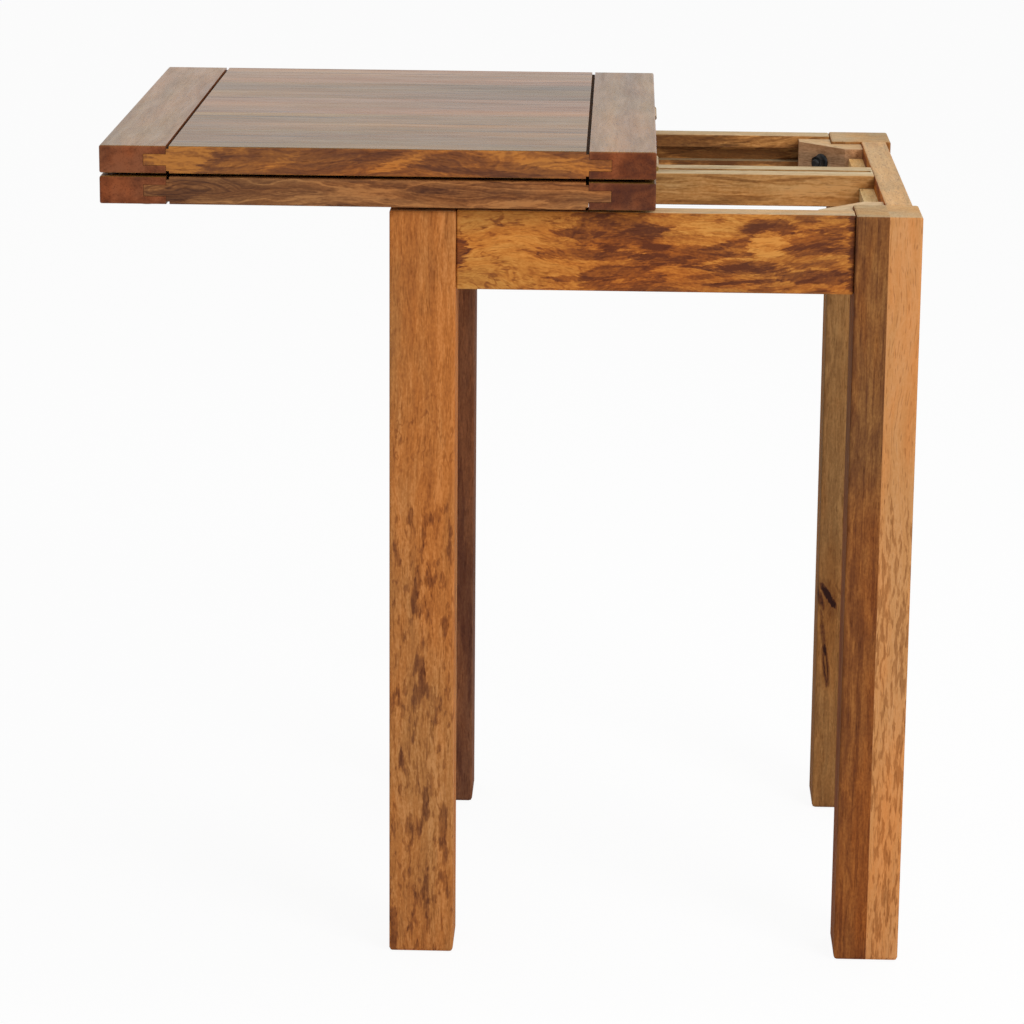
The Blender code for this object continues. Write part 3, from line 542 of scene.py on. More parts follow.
ASH = wood((206, 186, 150), (188, 166, 129), (162, 137, 102), (138, 112, 84), (110, 86, 64))
TAN = wood((200, 150, 94), (176, 125, 71), (148, 101, 56), (122, 81, 44), (98, 63, 36))
DRAB = wood((206, 166, 126), (182, 140, 104), (150, 112, 80), (120, 86, 60), (92, 64, 44))
TOWARDS_ORANGE = (1.08, 0.95, 0.78, 1.0)
TOWARDS_OLIVE = (0.94, 1.04, 1.12, 1.0)
TOWARDS_RUST = (1.12, 0.94, 0.8, 1.0)
END_TINT = (0.8, 0.62, 0.66, 1.0)
PORE_TINT = (0.55, 0.48, 0.45, 1.0)
PORE_SHARE = 0.55
# Painted shade for the floors of shallow grooves.
GROOVE_PAINTED_SHADE = shade(36, 24, 18)
GROOVE_DEPTHS = (0.001, 0.004)
PLAIN_RINGS = ((0.02, 0.09), 0.005, 0.03, 0.5)


# %% Layers of a piece
def face_tone(grain, zone, texture, depth, liveliness, marks):
    """Zones, texture and marks round a depth, which says how dark the face is."""
    tone = depth + zone + texture * liveliness
    for mark in marks:
        tone = tone + mark(grain)
    return tone


def with_painted_top_shading(grain, colour, zone, texture, palette, up, down=0.0, depth=0.25, liveliness=0.5, marks=()):
    """A colour whose faces that look up and down have a share of another palette, as painted light and shade."""
    tree = grain.tree
    tone = face_tone(grain, zone, texture, depth, liveliness, marks)
    share = grain.facing(Z_WAY) * up + grain.facing(-Z_WAY) * down
    return tree.mix(share, colour, tree.ramp(tone, *palette))


def wood_layers(grain, palette, marks=(), rings=PLAIN_RINGS, depth=0.25, liveliness=1.0, top=None):
    """Colour and streaks of one piece: its tone through the palette, then painted top light and shade, hue and pores.
    """
    tree = grain.tree
    streak = streaks(grain)
    zone, texture = plain_tone(grain, streak, rings)
    colour = tree.ramp(face_tone(grain, zone, texture, depth, liveliness, marks), *palette)
    # The top palette paints light and shade on the faces that look up and down.
    if top:
        colour = with_painted_top_shading(grain, colour, zone, texture, **top)
    hue = tree.smooth(grain.noise(3.0, 16.0, 5.0, salt=18, roughness=0.62), 0.35, 0.65)
    tinted = tree.mix(1.0, colour, tree.mix(hue, TOWARDS_ORANGE, TOWARDS_OLIVE), "MULTIPLY")
    pore = tree.smooth(grain.noise(90.0, 850.0, 0.0, salt=4), 0.63, 0.73)
    return tree.mix(pore * PORE_SHARE, tinted, tree.mix(1.0, tinted, PORE_TINT, "MULTIPLY")), streak


SATIN = 0.6
SATIN_IOR = 1.19
DULL = 0.75
DULL_IOR = 1.1
EDGE_WIDTH = 0.003
WEAR_SHARE = 0.3
GROOVE_SHADE_SHARE = 0.9
BUMP_DISTANCE = 0.0006


def varnish(grain, shader, colour, streak, gloss, edge_colour, end_share):
    """Satin varnish over wood: ends darker, edges lighter, painted shade in grooves, shine and bump after the
    streaks.
    """
    tree = grain.tree
    end = grain.facing(grain.direction) + grain.facing(-grain.direction)
    face_colour = tree.mix(end * end_share, colour, tree.mix(1.0, colour, END_TINT, "MULTIPLY"))
    worn = grain.edges(EDGE_WIDTH) * tree.smooth(grain.noise(25.0, 60.0, 2.0, salt=13), 0.4, 0.7)
    # Floors of shallow grooves that look up or down are painted dark as shade.
    groove = (grain.facing(Z_WAY) + grain.facing(-Z_WAY)) * grain.sunk(*GROOVE_DEPTHS)
    rubbed = tree.mix(worn * WEAR_SHARE, face_colour, edge_colour)
    tree.feed(shader.inputs["Base Color"], tree.mix(groove * GROOVE_SHADE_SHARE, rubbed, GROOVE_PAINTED_SHADE))
    tree.feed(shader.inputs["Roughness"], tree.least(gloss + streak * 0.25 + end * 0.1 + groove * 0.6, 1.0))
    height = streak * 0.6 + grain.noise(4.0, 22.0, 1.0, salt=14) * 1.2
    relief = {"Strength": 0.6 * (gloss - 0.2), "Distance": BUMP_DISTANCE, "Height": height}
    tree.feed(shader.inputs["Normal"], tree.add("ShaderNodeBump", {}, relief))
    shader.inputs["IOR"].default_value = DULL_IOR if gloss == DULL else SATIN_IOR


def coat(node, material):
    """Put one material on a CAD node."""
    nodes[node].data.materials.clear()
    nodes[node].data.materials.append(material)


def dress(node, along, across, seed, palette, gloss=SATIN, end_share=0.3, waver=0.012, **layers):
    """Give a CAD node its own piece of wood."""
    material, tree, shader = new_finish(node + "_wood")
    grain = Grain(tree, node, along, across, seed, waver)
    colour, streak = wood_layers(grain, palette, **layers)
    varnish(grain, shader, colour, streak, gloss, palette[0], end_share)
    coat(node, material)


print("palettes of", len(GOLD), "colours")

# %% [markdown]
# ## The leaves
#
# Each leaf is five boards between two end boards whose grain runs the other way. Seen from the camera the top lies
# almost edge-on, so it shows mostly its shine. The front edges carry the colour: orange with slanting dark bands
# above, browner with wavy figure below. So the front boards take their face upright, and the others flat.

# %% Leaves
TOP_GLOSS = 0.26
EDGE_GLOSS = 0.4
FRONT_DEPTH = (0.04, 0.03)
UPPER_EDGE = spots((
    (-0.175, 0.0, 0.024, 0.018, 0.0, -0.3), (-0.143, 0.0, 0.016, 0.007, 0.77, 0.25),
    (-0.085, 0.0, 0.014, 0.004, 0.5, -0.2), (-0.05, 0.002, 0.04, 0.010, 0.2, 0.15),
    (0.022, 0.0, 0.028, 0.004, 0.3, -0.35), (0.004, 0.006, 0.022, 0.003, 0.2, 0.3),
    (0.06, 0.004, 0.03, 0.006, 0.0, 0.2), (0.15, 0.003, 0.055, 0.006, -0.15, -0.28),
    (0.11, -0.009, 0.07, 0.003, -0.08, 0.3),
), depth=FRONT_DEPTH)
LOWER_EDGE = spots((
    (-0.15, 0.002, 0.05, 0.008, 0.1, 0.15), (-0.03, -0.003, 0.05, 0.006, 0.1, -0.2),
    (-0.175, 0.0, 0.02, 0.010, 0.3, 0.25), (0.02, 0.006, 0.05, 0.003, -0.1, 0.3),
    (0.08, 0.003, 0.05, 0.007, 0.0, 0.2), (0.125, -0.008, 0.03, 0.003, 0.1, -0.35),
), depth=FRONT_DEPTH)
SLANTING_RINGS = ((0.03, 0.03), 0.005, 0.06, 0.8)
LOOPED_RINGS = ((0.0, 0.05), 0.004, 0.05, 1.5)
BOARD_MARKS = (bands(0.05, amount=1.3), flames(0.6, (0.3, 0.005), amount=0.6))
BOARD_FACE = {"depth": 0.3, "liveliness": 0.22, "marks": BOARD_MARKS}
# The front board's top and underside take the darker palette of the other boards' tops: painted shade of the flat
# faces.
BOARD_PAINTED_TOP_SHADING = {"palette": UMBER, "up": 1.0, "down": 1.0, **BOARD_FACE}
dress("upper_board_1", X_WAY, Z_WAY, 11, CHESTNUT, TOP_GLOSS, waver=CURLY_WAVER, depth=0.45,
      marks=(UPPER_EDGE,), rings=SLANTING_RINGS, top=BOARD_PAINTED_TOP_SHADING)
dress("lower_board_1", X_WAY, Z_WAY, 21, RUSSET, EDGE_GLOSS, waver=CURLY_WAVER, depth=0.3,
      marks=(LOWER_EDGE,), rings=LOOPED_RINGS)
BOARD_PALETTES = (UMBER, OLIVE, UMBER, OLIVE)
for number, palette in enumerate(BOARD_PALETTES, start=2):
    dress(f"upper_board_{number}", X_WAY, Y_WAY, 10 + number, palette, TOP_GLOSS, **BOARD_FACE)
    dress(f"lower_board_{number}", X_WAY, Y_WAY, 20 + number, palette, EDGE_GLOSS, marks=BOARD_MARKS)
# The end boards' tops and undersides take a share of an olive palette, as painted light and shade like the boards'
# tops.
END_PAINTED_TOP_SHADING = {"palette": UMBER, "up": 0.85, "down": 0.85, "marks": (bands(0.03, amount=0.8),)}
END_BOARDS = {"upper_left": 0.15, "upper_right": 0.35, "lower_left": 0.25, "lower_right": 0.4}
for number, (board, depth) in enumerate(END_BOARDS.items()):
    gloss = TOP_GLOSS if board.startswith("upper") else EDGE_GLOSS
    dress(board + "_end_board", Y_WAY, X_WAY, 31 + number, MAHOGANY, gloss, end_share=0.8, depth=depth,
          liveliness=0.7, top=END_PAINTED_TOP_SHADING, marks=(bands(0.018, amount=1.1),))
print("two leaves of", len(BOARD_PALETTES) + 1, "boards and two end boards")

# %% [markdown]
# ## The aprons
#
# The front apron is the showpiece: quiet golden wood with curls and short dashes at its left end, dark flames over
# the rest, and ragged gold islands between them. A narrow dark strip at its right end is painted shade beside the
# leg. The others are cut from the same kind of plank, and their inner faces show it too.

# %% Aprons
# One tall narrow spot, at the right end beside the leg, is painted shade; the others are the wood's figure.
APRON_SPOTS_AND_PAINTED_SHADE = spots((
    (0.07, -0.01, 0.15, 0.06, 0.0, 0.14), (-0.036, 0.017, 0.045, 0.015, -0.1, 0.34),
    (-0.05, -0.003, 0.05, 0.005, 0.0, 0.3), (-0.076, -0.025, 0.018, 0.003, 0.0, 0.35),
    (-0.03, -0.02, 0.036, 0.006, 0.0, 0.3), (0.032, -0.003, 0.054, 0.009, -0.05, 0.35),
    (0.083, -0.012, 0.03, 0.006, 0.0, 0.35), (0.1, 0.023, 0.022, 0.008, 0.0, 0.42),
    (0.08, 0.009, 0.014, 0.004, 0.0, 0.3), (0.102, 0.008, 0.016, 0.010, 0.0, -0.5),
    (0.064, -0.008, 0.024, 0.003, 0.1, -0.5), (0.055, 0.024, 0.03, 0.008, 0.0, -0.25),
    (0.14, 0.009, 0.026, 0.011, 0.1, 0.35), (0.145, -0.021, 0.032, 0.006, 0.0, 0.4),
    (0.085, -0.026, 0.03, 0.0015, 0.08, 0.35), (0.18, 0.0, 0.005, 0.05, 0.0, 0.4),
    (-0.178, -0.002, 0.008, 0.010, 0.0, 0.6),
), reach=0.024)
LEFT_OF_FLAMES = (-10.0, -9.0, -0.09, -0.04)
APRON_CURLS = curls((0.02, 0.012), LEFT_OF_FLAMES, amount=0.3)
APRON_DASHES = flecks(0.64, (0.012, 0.0022), LEFT_OF_FLAMES, amount=0.35)
RIGHT_OF_CURLS = (-0.10, -0.05, 9.0, 10.0)
RAGGED_FLAMES = flames(0.5, (0.035, 0.009), lean=0.1, reach=0.032, where=RIGHT_OF_CURLS, amount=0.3)
ARCHED_RINGS = ((0.0, 0.06), 0.005, 0.05, 0.45)
# The aprons' top faces take a share of a pale palette: painted sheen and light from above.
APRON_PAINTED_TOP_LIGHT = {"palette": ASH, "up": 0.72}
dress("front_apron", X_WAY, Z_WAY, 41, GOLD, waver=0.04, rings=ARCHED_RINGS, top=APRON_PAINTED_TOP_LIGHT,
      marks=(APRON_SPOTS_AND_PAINTED_SHADE, APRON_CURLS, APRON_DASHES, RAGGED_FLAMES))
APRON_FLAME = flames(0.48, (0.13, 0.026), lean=0.08, amount=0.45)
BACK_FLAME = flames(0.52, (0.05, 0.010), lean=0.1, amount=0.4)
dress("back_apron", X_WAY, Z_WAY, 42, TAN, waver=CURLY_WAVER, depth=0.33, top=APRON_PAINTED_TOP_LIGHT,
      marks=(APRON_FLAME, BACK_FLAME))
for name, seed, palette in (("left", 43, ORANGE), ("right", 44, GOLD)):
    dress(name + "_apron", Y_WAY, Z_WAY, seed, palette, waver=CURLY_WAVER, top=APRON_PAINTED_TOP_LIGHT, marks=(APRON_FLAME,))
print("four aprons, the front one with marks from x =", RIGHT_OF_CURLS[0])

# %% [markdown]
# ## The legs
#
# The front left leg is one orange piece with flecks of two sizes on its lower half. The front right leg is glued up
# from a dark strip and a pale one, so two woods are mixed at the glue line. The back right leg has a knot with a
# split below it. All four have a duller varnish than the leaves.

# %% Legs
LOWER_HALF = (-0.6, -0.5, 0.06, 0.14)
LEG_RINGS = ((-0.02, -0.08), 0.008, 0.05, 0.5)
# The legs' top ends take a share of a pale palette: painted light from above.
LEG_PAINTED_TOP_LIGHT = {"palette": ASH, "up": 0.82}
LEG_BANDS = bands(0.012, amount=0.4)
LARGE_FLECKS = flecks(0.57, (0.034, 0.010), LOWER_HALF, amount=0.5)
SMALL_FLECKS = flecks(0.6, (0.013, 0.004), LOWER_HALF, amount=0.35)
LEG_CURLS = curls((0.02, 0.008), (0.1, 0.13, 0.17, 0.2))
dress("front_left_leg", Z_WAY, X_WAY, 51, ORANGE, DULL, top=LEG_PAINTED_TOP_LIGHT, rings=LEG_RINGS, depth=0.2,
      liveliness=1.2, marks=(LARGE_FLECKS, SMALL_FLECKS, LEG_CURLS, LEG_BANDS))
dress("back_left_leg", Z_WAY, X_WAY, 52, DUSKY, DULL, top=LEG_PAINTED_TOP_LIGHT, depth=0.45,
      marks=(flames(0.52, (0.2, 0.03), amount=0.25),))
KNOT_AND_SPLIT = spots((
    (-0.127, -0.0215, 0.022, 0.013, -0.3, 0.25), (-0.1225, -0.0195, 0.013, 0.0036, -0.6, 0.75),
    (-0.1270, -0.0275, 0.011, 0.003, -0.3, 0.55), (-0.116, -0.009, 0.006, 0.0015, -0.5, 0.3),
    (-0.163, -0.0240, 0.023, 0.0024, -0.12, 0.6), (-0.1985, -0.0200, 0.022, 0.0034, -0.12, 0.7),
    (-0.199, -0.0200, 0.014, 0.0012, -0.12, -0.5),
), reach=0.008, ragged=1.5, fine=4.0, edge=0.35, depth=(-0.04, 0.03))
dress("back_right_leg", Z_WAY, X_WAY, 53, OLIVE, DULL, top=LEG_PAINTED_TOP_LIGHT, depth=0.2,
      marks=(KNOT_AND_SPLIT, LEG_BANDS))
STRIP_RINGS = ((0.1, -0.05), 0.01, 0.04, 0.3)
GLUE_LINE = 0.0008


def dress_glued_leg(node, seed, left_palette, right_palette):
    """Leg of two strips, left and right of a glue line down its middle."""
    material, tree, shader = new_finish(node + "_wood")
    left = Grain(tree, node, Z_WAY, X_WAY, seed, 0.01)
    right = Grain(tree, node, Z_WAY, X_WAY, seed + 1, 0.02)
    streaky = (flames(0.53, (0.15, 0.005), amount=0.25), LEG_BANDS)
    speckled = (flecks(0.5, (0.019, 0.0034), LOWER_HALF, amount=0.42),)
    left_colour, streak = wood_layers(left, left_palette, streaky, liveliness=1.3, top=LEG_PAINTED_TOP_LIGHT)
    rusty = tree.mix(1.0, left_colour, TOWARDS_RUST, "MULTIPLY")
    left_colour = tree.mix(left.stretch_of(LOWER_HALF), left_colour, rusty)
    right_colour, _ = wood_layers(right, right_palette, speckled, STRIP_RINGS, 0.2, 0.7, LEG_PAINTED_TOP_LIGHT)
    side = tree.smooth(left.across, -GLUE_LINE / 2, GLUE_LINE / 2)
    both = tree.mix(side, left_colour, right_colour)
    varnish(left, shader, both, streak, DULL, left_palette[0], end_share=0.2)
    coat(node, material)


dress_glued_leg("front_right_leg", 54, WALNUT, PALE)
print("four legs, one of them glued from two strips")

# %% [markdown]
# ## The inner frame
#
# The centre rail, the ledgers, the blocks and the slide shoes are planed but not varnished, so they are paler, drier
# and rougher. The blocks' grain runs across the corner.

# %% Inner frame
BARE_GLOSS = 0.65
# The small spot at the rail's right end, where it meets the right apron, is painted shade; the others are figure.
RAIL_SPOTS_AND_PAINTED_SHADE = spots((
    (0.075, 0.010, 0.035, 0.0016, -0.08, 0.4), (0.13, 0.0105, 0.03, 0.0015, 0.08, 0.35),
    (0.085, -0.008, 0.03, 0.003, 0.0, 0.25), (0.035, -0.013, 0.05, 0.0025, 0.0, 0.3),
    (0.15, 0.0, 0.03, 0.006, 0.1, -0.2), (0.212, 0.006, 0.008, 0.005, 0.0, 0.35),
    (-0.07, 0.009, 0.05, 0.0018, 0.06, 0.35), (-0.14, -0.006, 0.04, 0.003, -0.05, 0.3),
), reach=0.02, ragged=2.0, fine=2.0, edge=0.3)
# The rail's top face takes a share of a pale palette: painted light from above.
dress("centre_rail", X_WAY, Z_WAY, 61, TAN, BARE_GLOSS, top={"palette": ASH, "up": 0.7},
      rings=((0.09, 0.0), 0.006, 0.03, 0.9), marks=(RAIL_SPOTS_AND_PAINTED_SHADE, flames(0.57, (0.25, 0.010), amount=0.3)))
ROWS = (("front", -1), ("back", 1))
SIDES = (("left", -1), ("right", 1))
CORNERS = [(f"{row}_{side}", x_way, y_way) for row, y_way in ROWS for side, x_way in SIDES]
for number, (side, _) in enumerate(SIDES):
    dress(side + "_ledger", Y_WAY, X_WAY, 62 + number, STRAW, BARE_GLOSS)
for number, (row, _) in enumerate(ROWS):
    dress(row + "_slide_shoe", X_WAY, Y_WAY, 64 + number, STRAW, BARE_GLOSS)
# The blocks' top faces take a share of a pale palette: painted light from above.
for number, (corner, x_way, y_way) in enumerate(CORNERS):
    diagonal = Vector((1, -x_way * y_way, 0))
    dress(corner + "_block", diagonal, Z_WAY, 66 + number, DRAB, BARE_GLOSS, top={"palette": ASH, "up": 0.6})
print("rail, ledgers, shoes and blocks")

# %% [markdown]
# ## Metal and felt
#
# The leg bolts and nuts are blackened, the wood screws are zinc-plated and the hinges are brass. Bare metal is never
# even: slow noise dulls it in patches, and fine noise roughens it a little.


# %% Metal and felt
def metal_finish(name, colour, worn_colour, roughness, metallic):
    """Metal with duller patches and a little wear: two colours and a roughness mixed by the same noise."""
    material, tree, shader = new_finish(name)
    place = tree.add("ShaderNodeTexCoord", out="Object")
    patch = tree.add("ShaderNodeTexNoise", {}, {"Vector": place, "Scale": 90.0, "Detail": 3.0})
    fine = tree.add("ShaderNodeTexNoise", {}, {"Vector": place, "Scale": 1800.0, "Detail": 1.0})
    dull = tree.smooth(patch, 0.4, 0.7)
    tree.feed(shader.inputs["Base Color"], tree.mix(dull, colour, worn_colour))
    tree.feed(shader.inputs["Roughness"], roughness + dull * 0.15 + fine * 0.08)
    bump = tree.add("ShaderNodeBump", {}, {"Strength": 0.2, "Distance": 0.00005, "Height": fine})
    tree.feed(shader.inputs["Normal"], bump)
    shader.inputs["Metallic"].default_value = metallic
    return material


black_steel = metal_finish("blackened_steel", shade(30, 32, 34), shade(52, 50, 48), 0.38, 0.7)
zinc = metal_finish("zinc_plate", shade(196, 194, 184), shade(164, 158, 140), 0.3, 1.0)
brass = metal_finish("aged_brass", shade(170, 134, 74), shade(140, 108, 60), 0.34, 1.0)

felt, tree, shader = new_finish("brown_felt")
place = tree.add("ShaderNodeTexCoord", out="Object")
fuzz = tree.add("ShaderNodeTexNoise", {}, {"Vector": place, "Scale": 1500.0, "Detail": 4.0})
tree.feed(shader.inputs["Base Color"], tree.ramp(fuzz, shade(58, 40, 28), shade(112, 84, 62)))
fuzz_bump = tree.add("ShaderNodeBump", {}, {"Strength": 0.6, "Distance": 0.0003, "Height": fuzz})
tree.feed(shader.inputs["Normal"], fuzz_bump)
shader.inputs["Roughness"].default_value = 0.95
shader.inputs["Sheen Weight"].default_value = 0.4

for node in nodes:
    if "hinge" in node:
        coat(node, brass)
print("three metals and a felt")

# %% [markdown]
# ## A skin over a grid
#
# Every small piece of hardware is a surface with two parameters: a step along its axis and an angle round it. A grid
# of points holds it, numpy fills the grid at once, and one function joins neighbouring points into faces. Each end
# is closed by a fan, or, on a ring such as a nut, the last row joins the first.


# %% Grid to mesh
SHARP_ANGLE = math.radians(38)


def grid_piece(name, grid, material, body, ring=False):
    """Closed skin over a grid: rows run along the piece and columns round it."""
    rows, columns = grid.shape[:2]
    points = grid.reshape(-1, 3)
    here = np.arange(rows * columns).reshape(rows, columns)
    beside = np.roll(here, -1, axis=1)
    below = np.roll(here, -1, axis=0)
    corner = np.roll(beside, -1, axis=0)
    last = rows if ring else rows - 1
    quads = np.stack([here[:last], below[:last], corner[:last], beside[:last]], axis=-1).reshape(-1, 4)
    loops = [quads.ravel()]
    sizes = [np.full(len(quads), 4)]
    if not ring:
        points = np.vstack([points, grid[0].mean(axis=0), grid[-1].mean(axis=0)])
        top = np.stack([np.full(columns, rows * columns), here[0], beside[0]], axis=-1)
        bottom = np.stack([np.full(columns, rows * columns + 1), beside[-1], here[-1]], axis=-1)
        loops += [top.ravel(), bottom.ravel()]
        sizes += [np.full(2 * columns, 3)]
    loops = np.concatenate(loops)
    sizes = np.concatenate(sizes)
    mesh = bpy.data.meshes.new(name)
    mesh.vertices.add(len(points))
    mesh.vertices.foreach_set("co", points.astype(np.float32).ravel())
    mesh.loops.add(len(loops))
    mesh.loops.foreach_set("vertex_index", loops.astype(np.int32))
    mesh.polygons.add(len(sizes))
    mesh.polygons.foreach_set("loop_start", np.concatenate([[0], np.cumsum(sizes)[:-1]]).astype(np.int32))
    mesh.update(calc_edges=True)
    mesh.shade_smooth()
    mesh.set_sharp_from_angle(angle=SHARP_ANGLE)
    mesh.materials.append(material)
    piece = bpy.data.objects.new(name, mesh)
    bpy.context.scene.collection.objects.link(piece)
    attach(piece, body)
    return piece


def angles(columns):
    """Angles of the columns round a piece."""
    return np.linspace(0.0, 2 * np.pi, columns, endpoint=False)


def turned(radius, height, angle):
    """Grid of a turned form: radius and height along rows, which may also change with the angle."""
    radius = np.broadcast_to(radius, (len(height), len(angle)))
    height = np.broadcast_to(height, radius.shape)
    return np.stack([radius * np.cos(angle), radius * np.sin(angle), height], axis=-1)


def aimed(grid, origin, direction):
    """Grid moved to an origin, with its -Z turned to a direction."""
    axis = Vector(direction).normalized()
    turn = np.array(axis.to_track_quat("-Z", "Y").to_matrix())
    return grid @ turn.T + np.array(origin)


print("a grid becomes a closed skin")

# %% [markdown]
# ## Wood screws
#
# A wood screw has a countersunk head with a cross recess, a plain neck and a thread that winds down to a point. The
# recess is a dent in the head's face where both |x| and |y| lie in one of two bars. The thread adds a ridge to the
# shank where the height, less the turned angle, is near a whole number of pitches.


# %% Screw form
def screw_grid(length, radius, head_radius, head_height, pitch):
    """Screw with its head's face at the origin, point down Z."""
    angle = angles(48)[None, :]
    face = head_radius * np.linspace(0.06, 1.0, 14)[:, None]
    x = np.abs(face * np.cos(angle))
    y = np.abs(face * np.sin(angle))
    bar = 0.13 * head_radius
    soft = 0.05 * head_radius
    in_bar = np.clip((bar - np.minimum(x, y)) / soft + 0.5, 0.0, 1.0)
    in_reach = np.clip((0.62 * head_radius - np.maximum(x, y)) / soft + 0.5, 0.0, 1.0)
    face_height = -0.55 * head_height * in_bar * in_reach
    neck_radius = np.array([[head_radius], [radius * 1.04], [radius]])
    neck_height = np.array([[-0.12 * head_height], [-head_height], [-1.6 * head_height]])
    turns = int((length - 2.2 * head_height) / pitch)
    shank_height = np.linspace(-1.7 * head_height, -length + 0.2 * radius, turns * 6)[:, None]
    tip = np.clip((length + shank_height) / (2.4 * radius), 0.0, 1.0)
    phase = (shank_height / pitch + angle / (2 * np.pi)) % 1.0
    ridge = np.clip(1 - np.abs(phase - 0.5) / 0.28, 0.0, 1.0)
    shank_radius = radius * tip * (0.7 + 0.3 * ridge)
    return np.concatenate([
        np.stack([face * np.cos(angle), face * np.sin(angle), face_height], axis=-1),
        turned(neck_radius, neck_height, angle[0]),
        turned(shank_radius, shank_height, angle[0]),
    ])


WOOD_SCREW = screw_grid(0.026, 0.002, 0.004, 0.0025, 0.0018)
HINGE_SCREW = screw_grid(0.014, 0.0014, 0.0028, 0.0014, 0.0012)
print("a wood screw has", WOOD_SCREW.shape[0] * WOOD_SCREW.shape[1], "points")


# %% Screws of the base
def box_corner(node, x_way, y_way):
    """The lower corner of a node's box that two ways of 1 or -1 point to."""
    low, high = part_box(node)
    return Vector((high.x if x_way > 0 else low.x, high.y if y_way > 0 else low.y, low.z))


BLOCK_SCREW_LAND = 0.014
BLOCK_SCREW_RISE = 0.008
LEDGER_SCREW_SPREAD = 0.105
for corner, x_way, y_way in CORNERS:
    outer = box_corner(corner + "_block", x_way, y_way)
    inner = (box_corner(corner + "_block", -x_way, -y_way) + box_corner(corner + "_leg", -x_way, -y_way)) / 2
    rise = outer.z + BLOCK_SCREW_RISE
    seats = {
        "crosswise": ((inner.x, outer.y - y_way * BLOCK_SCREW_LAND, rise), (0, y_way, 0)),
        "lengthwise": ((outer.x - x_way * BLOCK_SCREW_LAND, inner.y, rise), (x_way, 0, 0)),
    }
    for way, (seat, direction) in seats.items():
        screw = aimed(WOOD_SCREW, seat, direction)
        grid_piece(f"{corner}_block_{way}_screw", screw, zinc, "base")
for side, x_way in SIDES:
    low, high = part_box(side + "_ledger")
    x_face = box_corner(side + "_ledger", -x_way, 1).x
    for row, y_way in ROWS:
        seat = (x_face, y_way * LEDGER_SCREW_SPREAD, (low.z + high.z) / 2)
        screw = aimed(WOOD_SCREW, seat, (x_way, 0, 0))
        grid_piece(f"{side}_ledger_{row}_screw", screw, zinc, "base")
print("block and ledger screws")

# %% Screws of the leaves
HINGE_SCREW_OFFSET = 0.017
HINGE_SCREW_STEPS = (-0.02, 0.0, 0.02)
HINGE_FACES = {"lower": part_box("lower_board_1")[1].z, "upper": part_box("upper_board_1")[0].z}
for node in [name for name in nodes if "slide_shoe" in name and name.endswith("screw")]:
    low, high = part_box(node)
    seat = ((low.x + high.x) / 2, (low.y + high.y) / 2, low.z)
    piece = grid_piece(node + "_turned", aimed(WOOD_SCREW, seat, (0, 0, 1)), zinc, "lower_leaf")
    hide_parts(node)
for leaf, way in (("lower", -1), ("upper", 1)):
    for row, _ in ROWS:
        low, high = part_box(f"{row}_hinge_{leaf}_plate")
        for number, step in enumerate(HINGE_SCREW_STEPS, start=1):
            seat = (hinge_line.x - HINGE_SCREW_OFFSET, (low.y + high.y) / 2 + step, HINGE_FACES[leaf])
            screw = aimed(HINGE_SCREW, seat, (0, 0, way))
            grid_piece(f"{row}_hinge_{leaf}_screw_{number}", screw, brass, leaf + "_leaf")
print("shoe and hinge screws")

# %% [markdown]
# ## Leg bolts and nuts
#
# A stud runs through each corner block into the leg, and a flanged hexagon nut pulls the joint tight. The stud's
# thread is the screw's ridge again. The nut is a ring: its outline goes from a circle at the flange to a hexagon,
# whose distance from the middle is half the width over flats, over the cosine of the angle from the nearest flat.


# %% Studs and nuts
def stud_grid(length, radius, pitch):
    """Threaded rod about the origin, along Z, with chamfered ends."""
    angle = angles(32)[None, :]
    height = np.linspace(length / 2, -length / 2, int(length / pitch * 6))[:, None]
    phase = (height / pitch + angle / (2 * np.pi)) % 1.0
    ridge = np.clip(1 - np.abs(phase - 0.5) / 0.5, 0.0, 1.0)
    end = np.clip((length / 2 - np.abs(height)) / (0.3 * radius), 0.0, 1.0)
    return turned(radius * (0.86 + 0.14 * ridge) * (0.72 + 0.28 * end), height, angle[0])


def nut_grid(across_flats, height, flange_radius, flange, bore):
    """Flanged hexagon nut with its seat at the origin, up Z, as a ring of rows round its section."""
    angle = angles(96)
    from_flat = (angle + np.pi / 6) % (np.pi / 3) - np.pi / 6
    hexagon = across_flats / 2 / np.cos(from_flat)
    circle = np.ones_like(angle)
    chamfer = 0.94 * across_flats / 2
    shoulder = height - (hexagon - chamfer) * math.tan(math.radians(30))
    section = (
        (bore * 1.06, 0.0), (bore, 0.08 * height), (bore, 0.92 * height), (bore * 1.12, height),
        (chamfer, height), (hexagon, shoulder), (hexagon, flange * 1.25),
        (flange_radius * 0.97, flange * 0.8), (flange_radius, flange * 0.55), (flange_radius, 0.0),
    )
    radius, rise = (np.array([part * circle for part in column]) for column in zip(*section))
    return turned(radius, rise, angle)


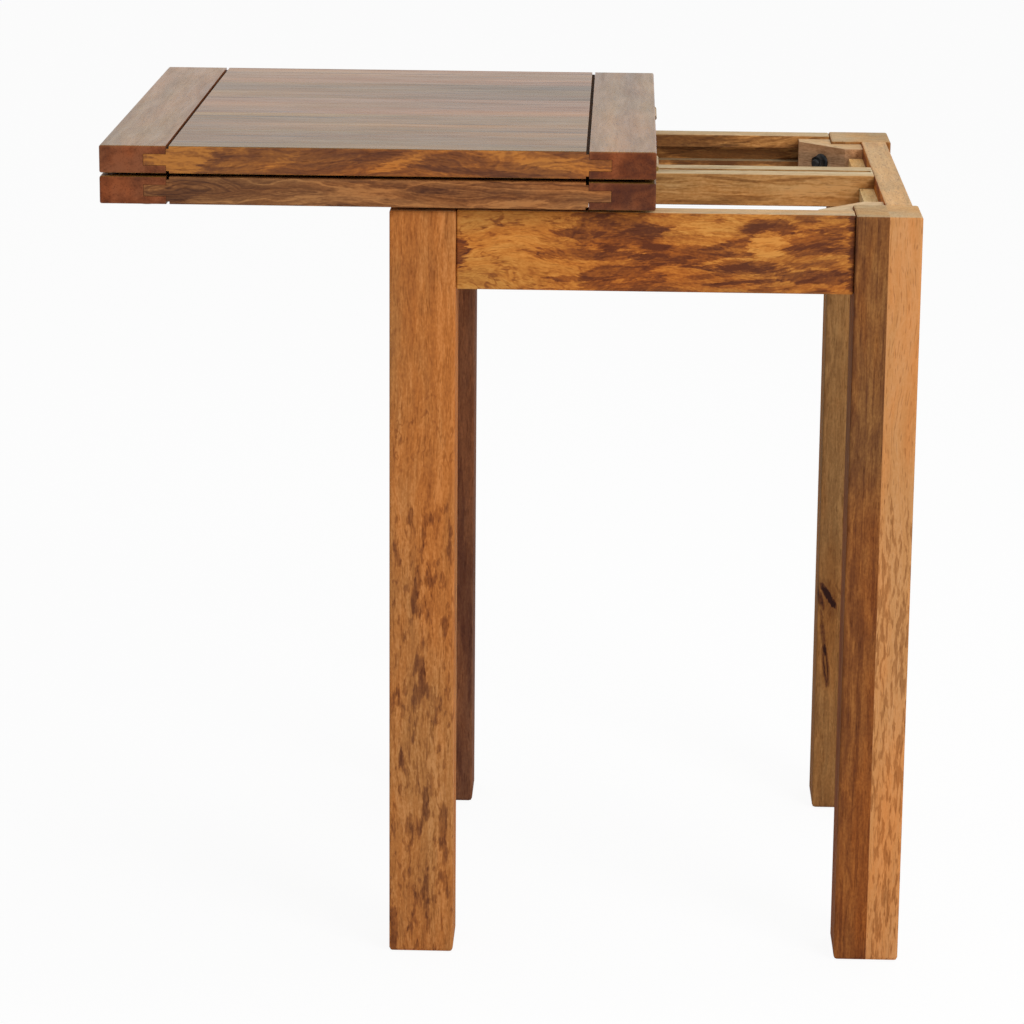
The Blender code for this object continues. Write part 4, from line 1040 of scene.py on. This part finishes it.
NUT_ACROSS_FLATS = 0.013
NUT_HEIGHT = 0.008
NUT_FLANGE_RADIUS = 0.0085
NUT_FLANGE = 0.0016
STUD_RADIUS = 0.004
STUD_PITCH = 0.00125
NUT_BORE = 0.0042
NUT = nut_grid(NUT_ACROSS_FLATS, NUT_HEIGHT, NUT_FLANGE_RADIUS, NUT_FLANGE, NUT_BORE)
for corner, x_way, y_way in CORNERS:
    node = corner + "_leg_bolt"
    low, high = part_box(node)
    into_leg = Vector((x_way, y_way, 0)).normalized()
    length = (high - low).xy.length - 2 * STUD_RADIUS
    stud = aimed(stud_grid(length, STUD_RADIUS, STUD_PITCH), (low + high) / 2, into_leg)
    piece = grid_piece(node + "_threaded", stud, black_steel, "base")
    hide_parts(node)
    node = corner + "_leg_nut"
    low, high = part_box(node)
    centre = (low + high) / 2
    points = np.empty(3 * len(nodes[node].data.vertices), dtype=np.float32)
    nodes[node].data.vertices.foreach_get("co", points)
    reach = points.reshape(-1, 3) @ np.array(into_leg)
    seat = centre + into_leg * (reach.max() - centre.dot(into_leg))
    nut = aimed(NUT, seat, into_leg)
    piece = grid_piece(node + "_chamfered", nut, black_steel, "base", ring=True)
    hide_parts(node)
print("four studs and four nuts")

# %% [markdown]
# ## Pins, pegs and pads
#
# The last small pieces are turned: hinge pins with domed ends, fluted guide pegs with a chamfer that leads them into
# the groove, and felt pads with a soft rim.


# %% Pins, pegs and pads
def rod_grid(length, radius, dome, flutes=0):
    """Rod about the origin along Z: its radius drops over a dome's length at each end, and flutes ripple it."""
    angle = angles(40)[None, :]
    inset = np.concatenate([dome * np.linspace(0.0, 1.0, 6) ** 2, [length / 2]])
    height = np.concatenate([length / 2 - inset, inset[-2::-1] - length / 2])[:, None]
    fall = np.clip((length / 2 - np.abs(height)) / dome, 0.0, 1.0)
    ripple = 1 - 0.05 * (0.5 - 0.5 * np.cos(flutes * angle))
    return turned(radius * (0.7 + 0.3 * np.sqrt(1 - (1 - fall) ** 2)) * ripple, height, angle[0])


def replace_rod(node, axis, dome, material, flutes=0):
    """Rod in the place of a CAD rod that lies along Y or Z."""
    low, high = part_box(node)
    size = high - low
    rod = rod_grid(size.dot(axis), size.x / 2, dome, flutes)
    grid = aimed(rod, (low + high) / 2, axis)
    piece = grid_piece(node + "_turned", grid, material, "lower_leaf")
    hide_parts(node)


peg_wood, tree, shader = new_finish("peg_wood")
place = tree.add("ShaderNodeTexCoord", out="Object")
stretch = tree.add("ShaderNodeMapping", {}, {"Vector": place, "Scale": (900.0, 900.0, 60.0)})
peg_streak = tree.add("ShaderNodeTexNoise", {}, {"Vector": stretch, "Scale": 1.0, "Detail": 2.0})
tree.feed(shader.inputs["Base Color"], tree.ramp(peg_streak, *STRAW[:3]))
shader.inputs["Roughness"].default_value = 0.6

for row, _ in ROWS:
    replace_rod(row + "_hinge_pin", Y_WAY, 0.0005, brass)
for peg in ("near_guide_peg", "far_guide_peg"):
    replace_rod(peg, Z_WAY, 0.0015, peg_wood, flutes=12)
for node in [name for name in nodes if name.endswith("slide_pad")]:
    replace_rod(node, Z_WAY, 0.0006, felt)
print("pins, pegs and pads")

# %% [markdown]
# ## Measure and finish
#
# The dressed table must stay as large as the solid one, so its box is printed.

# %% Measure and finish
low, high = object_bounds()
print("dressed box", [round(step, 4) for step in high - low])
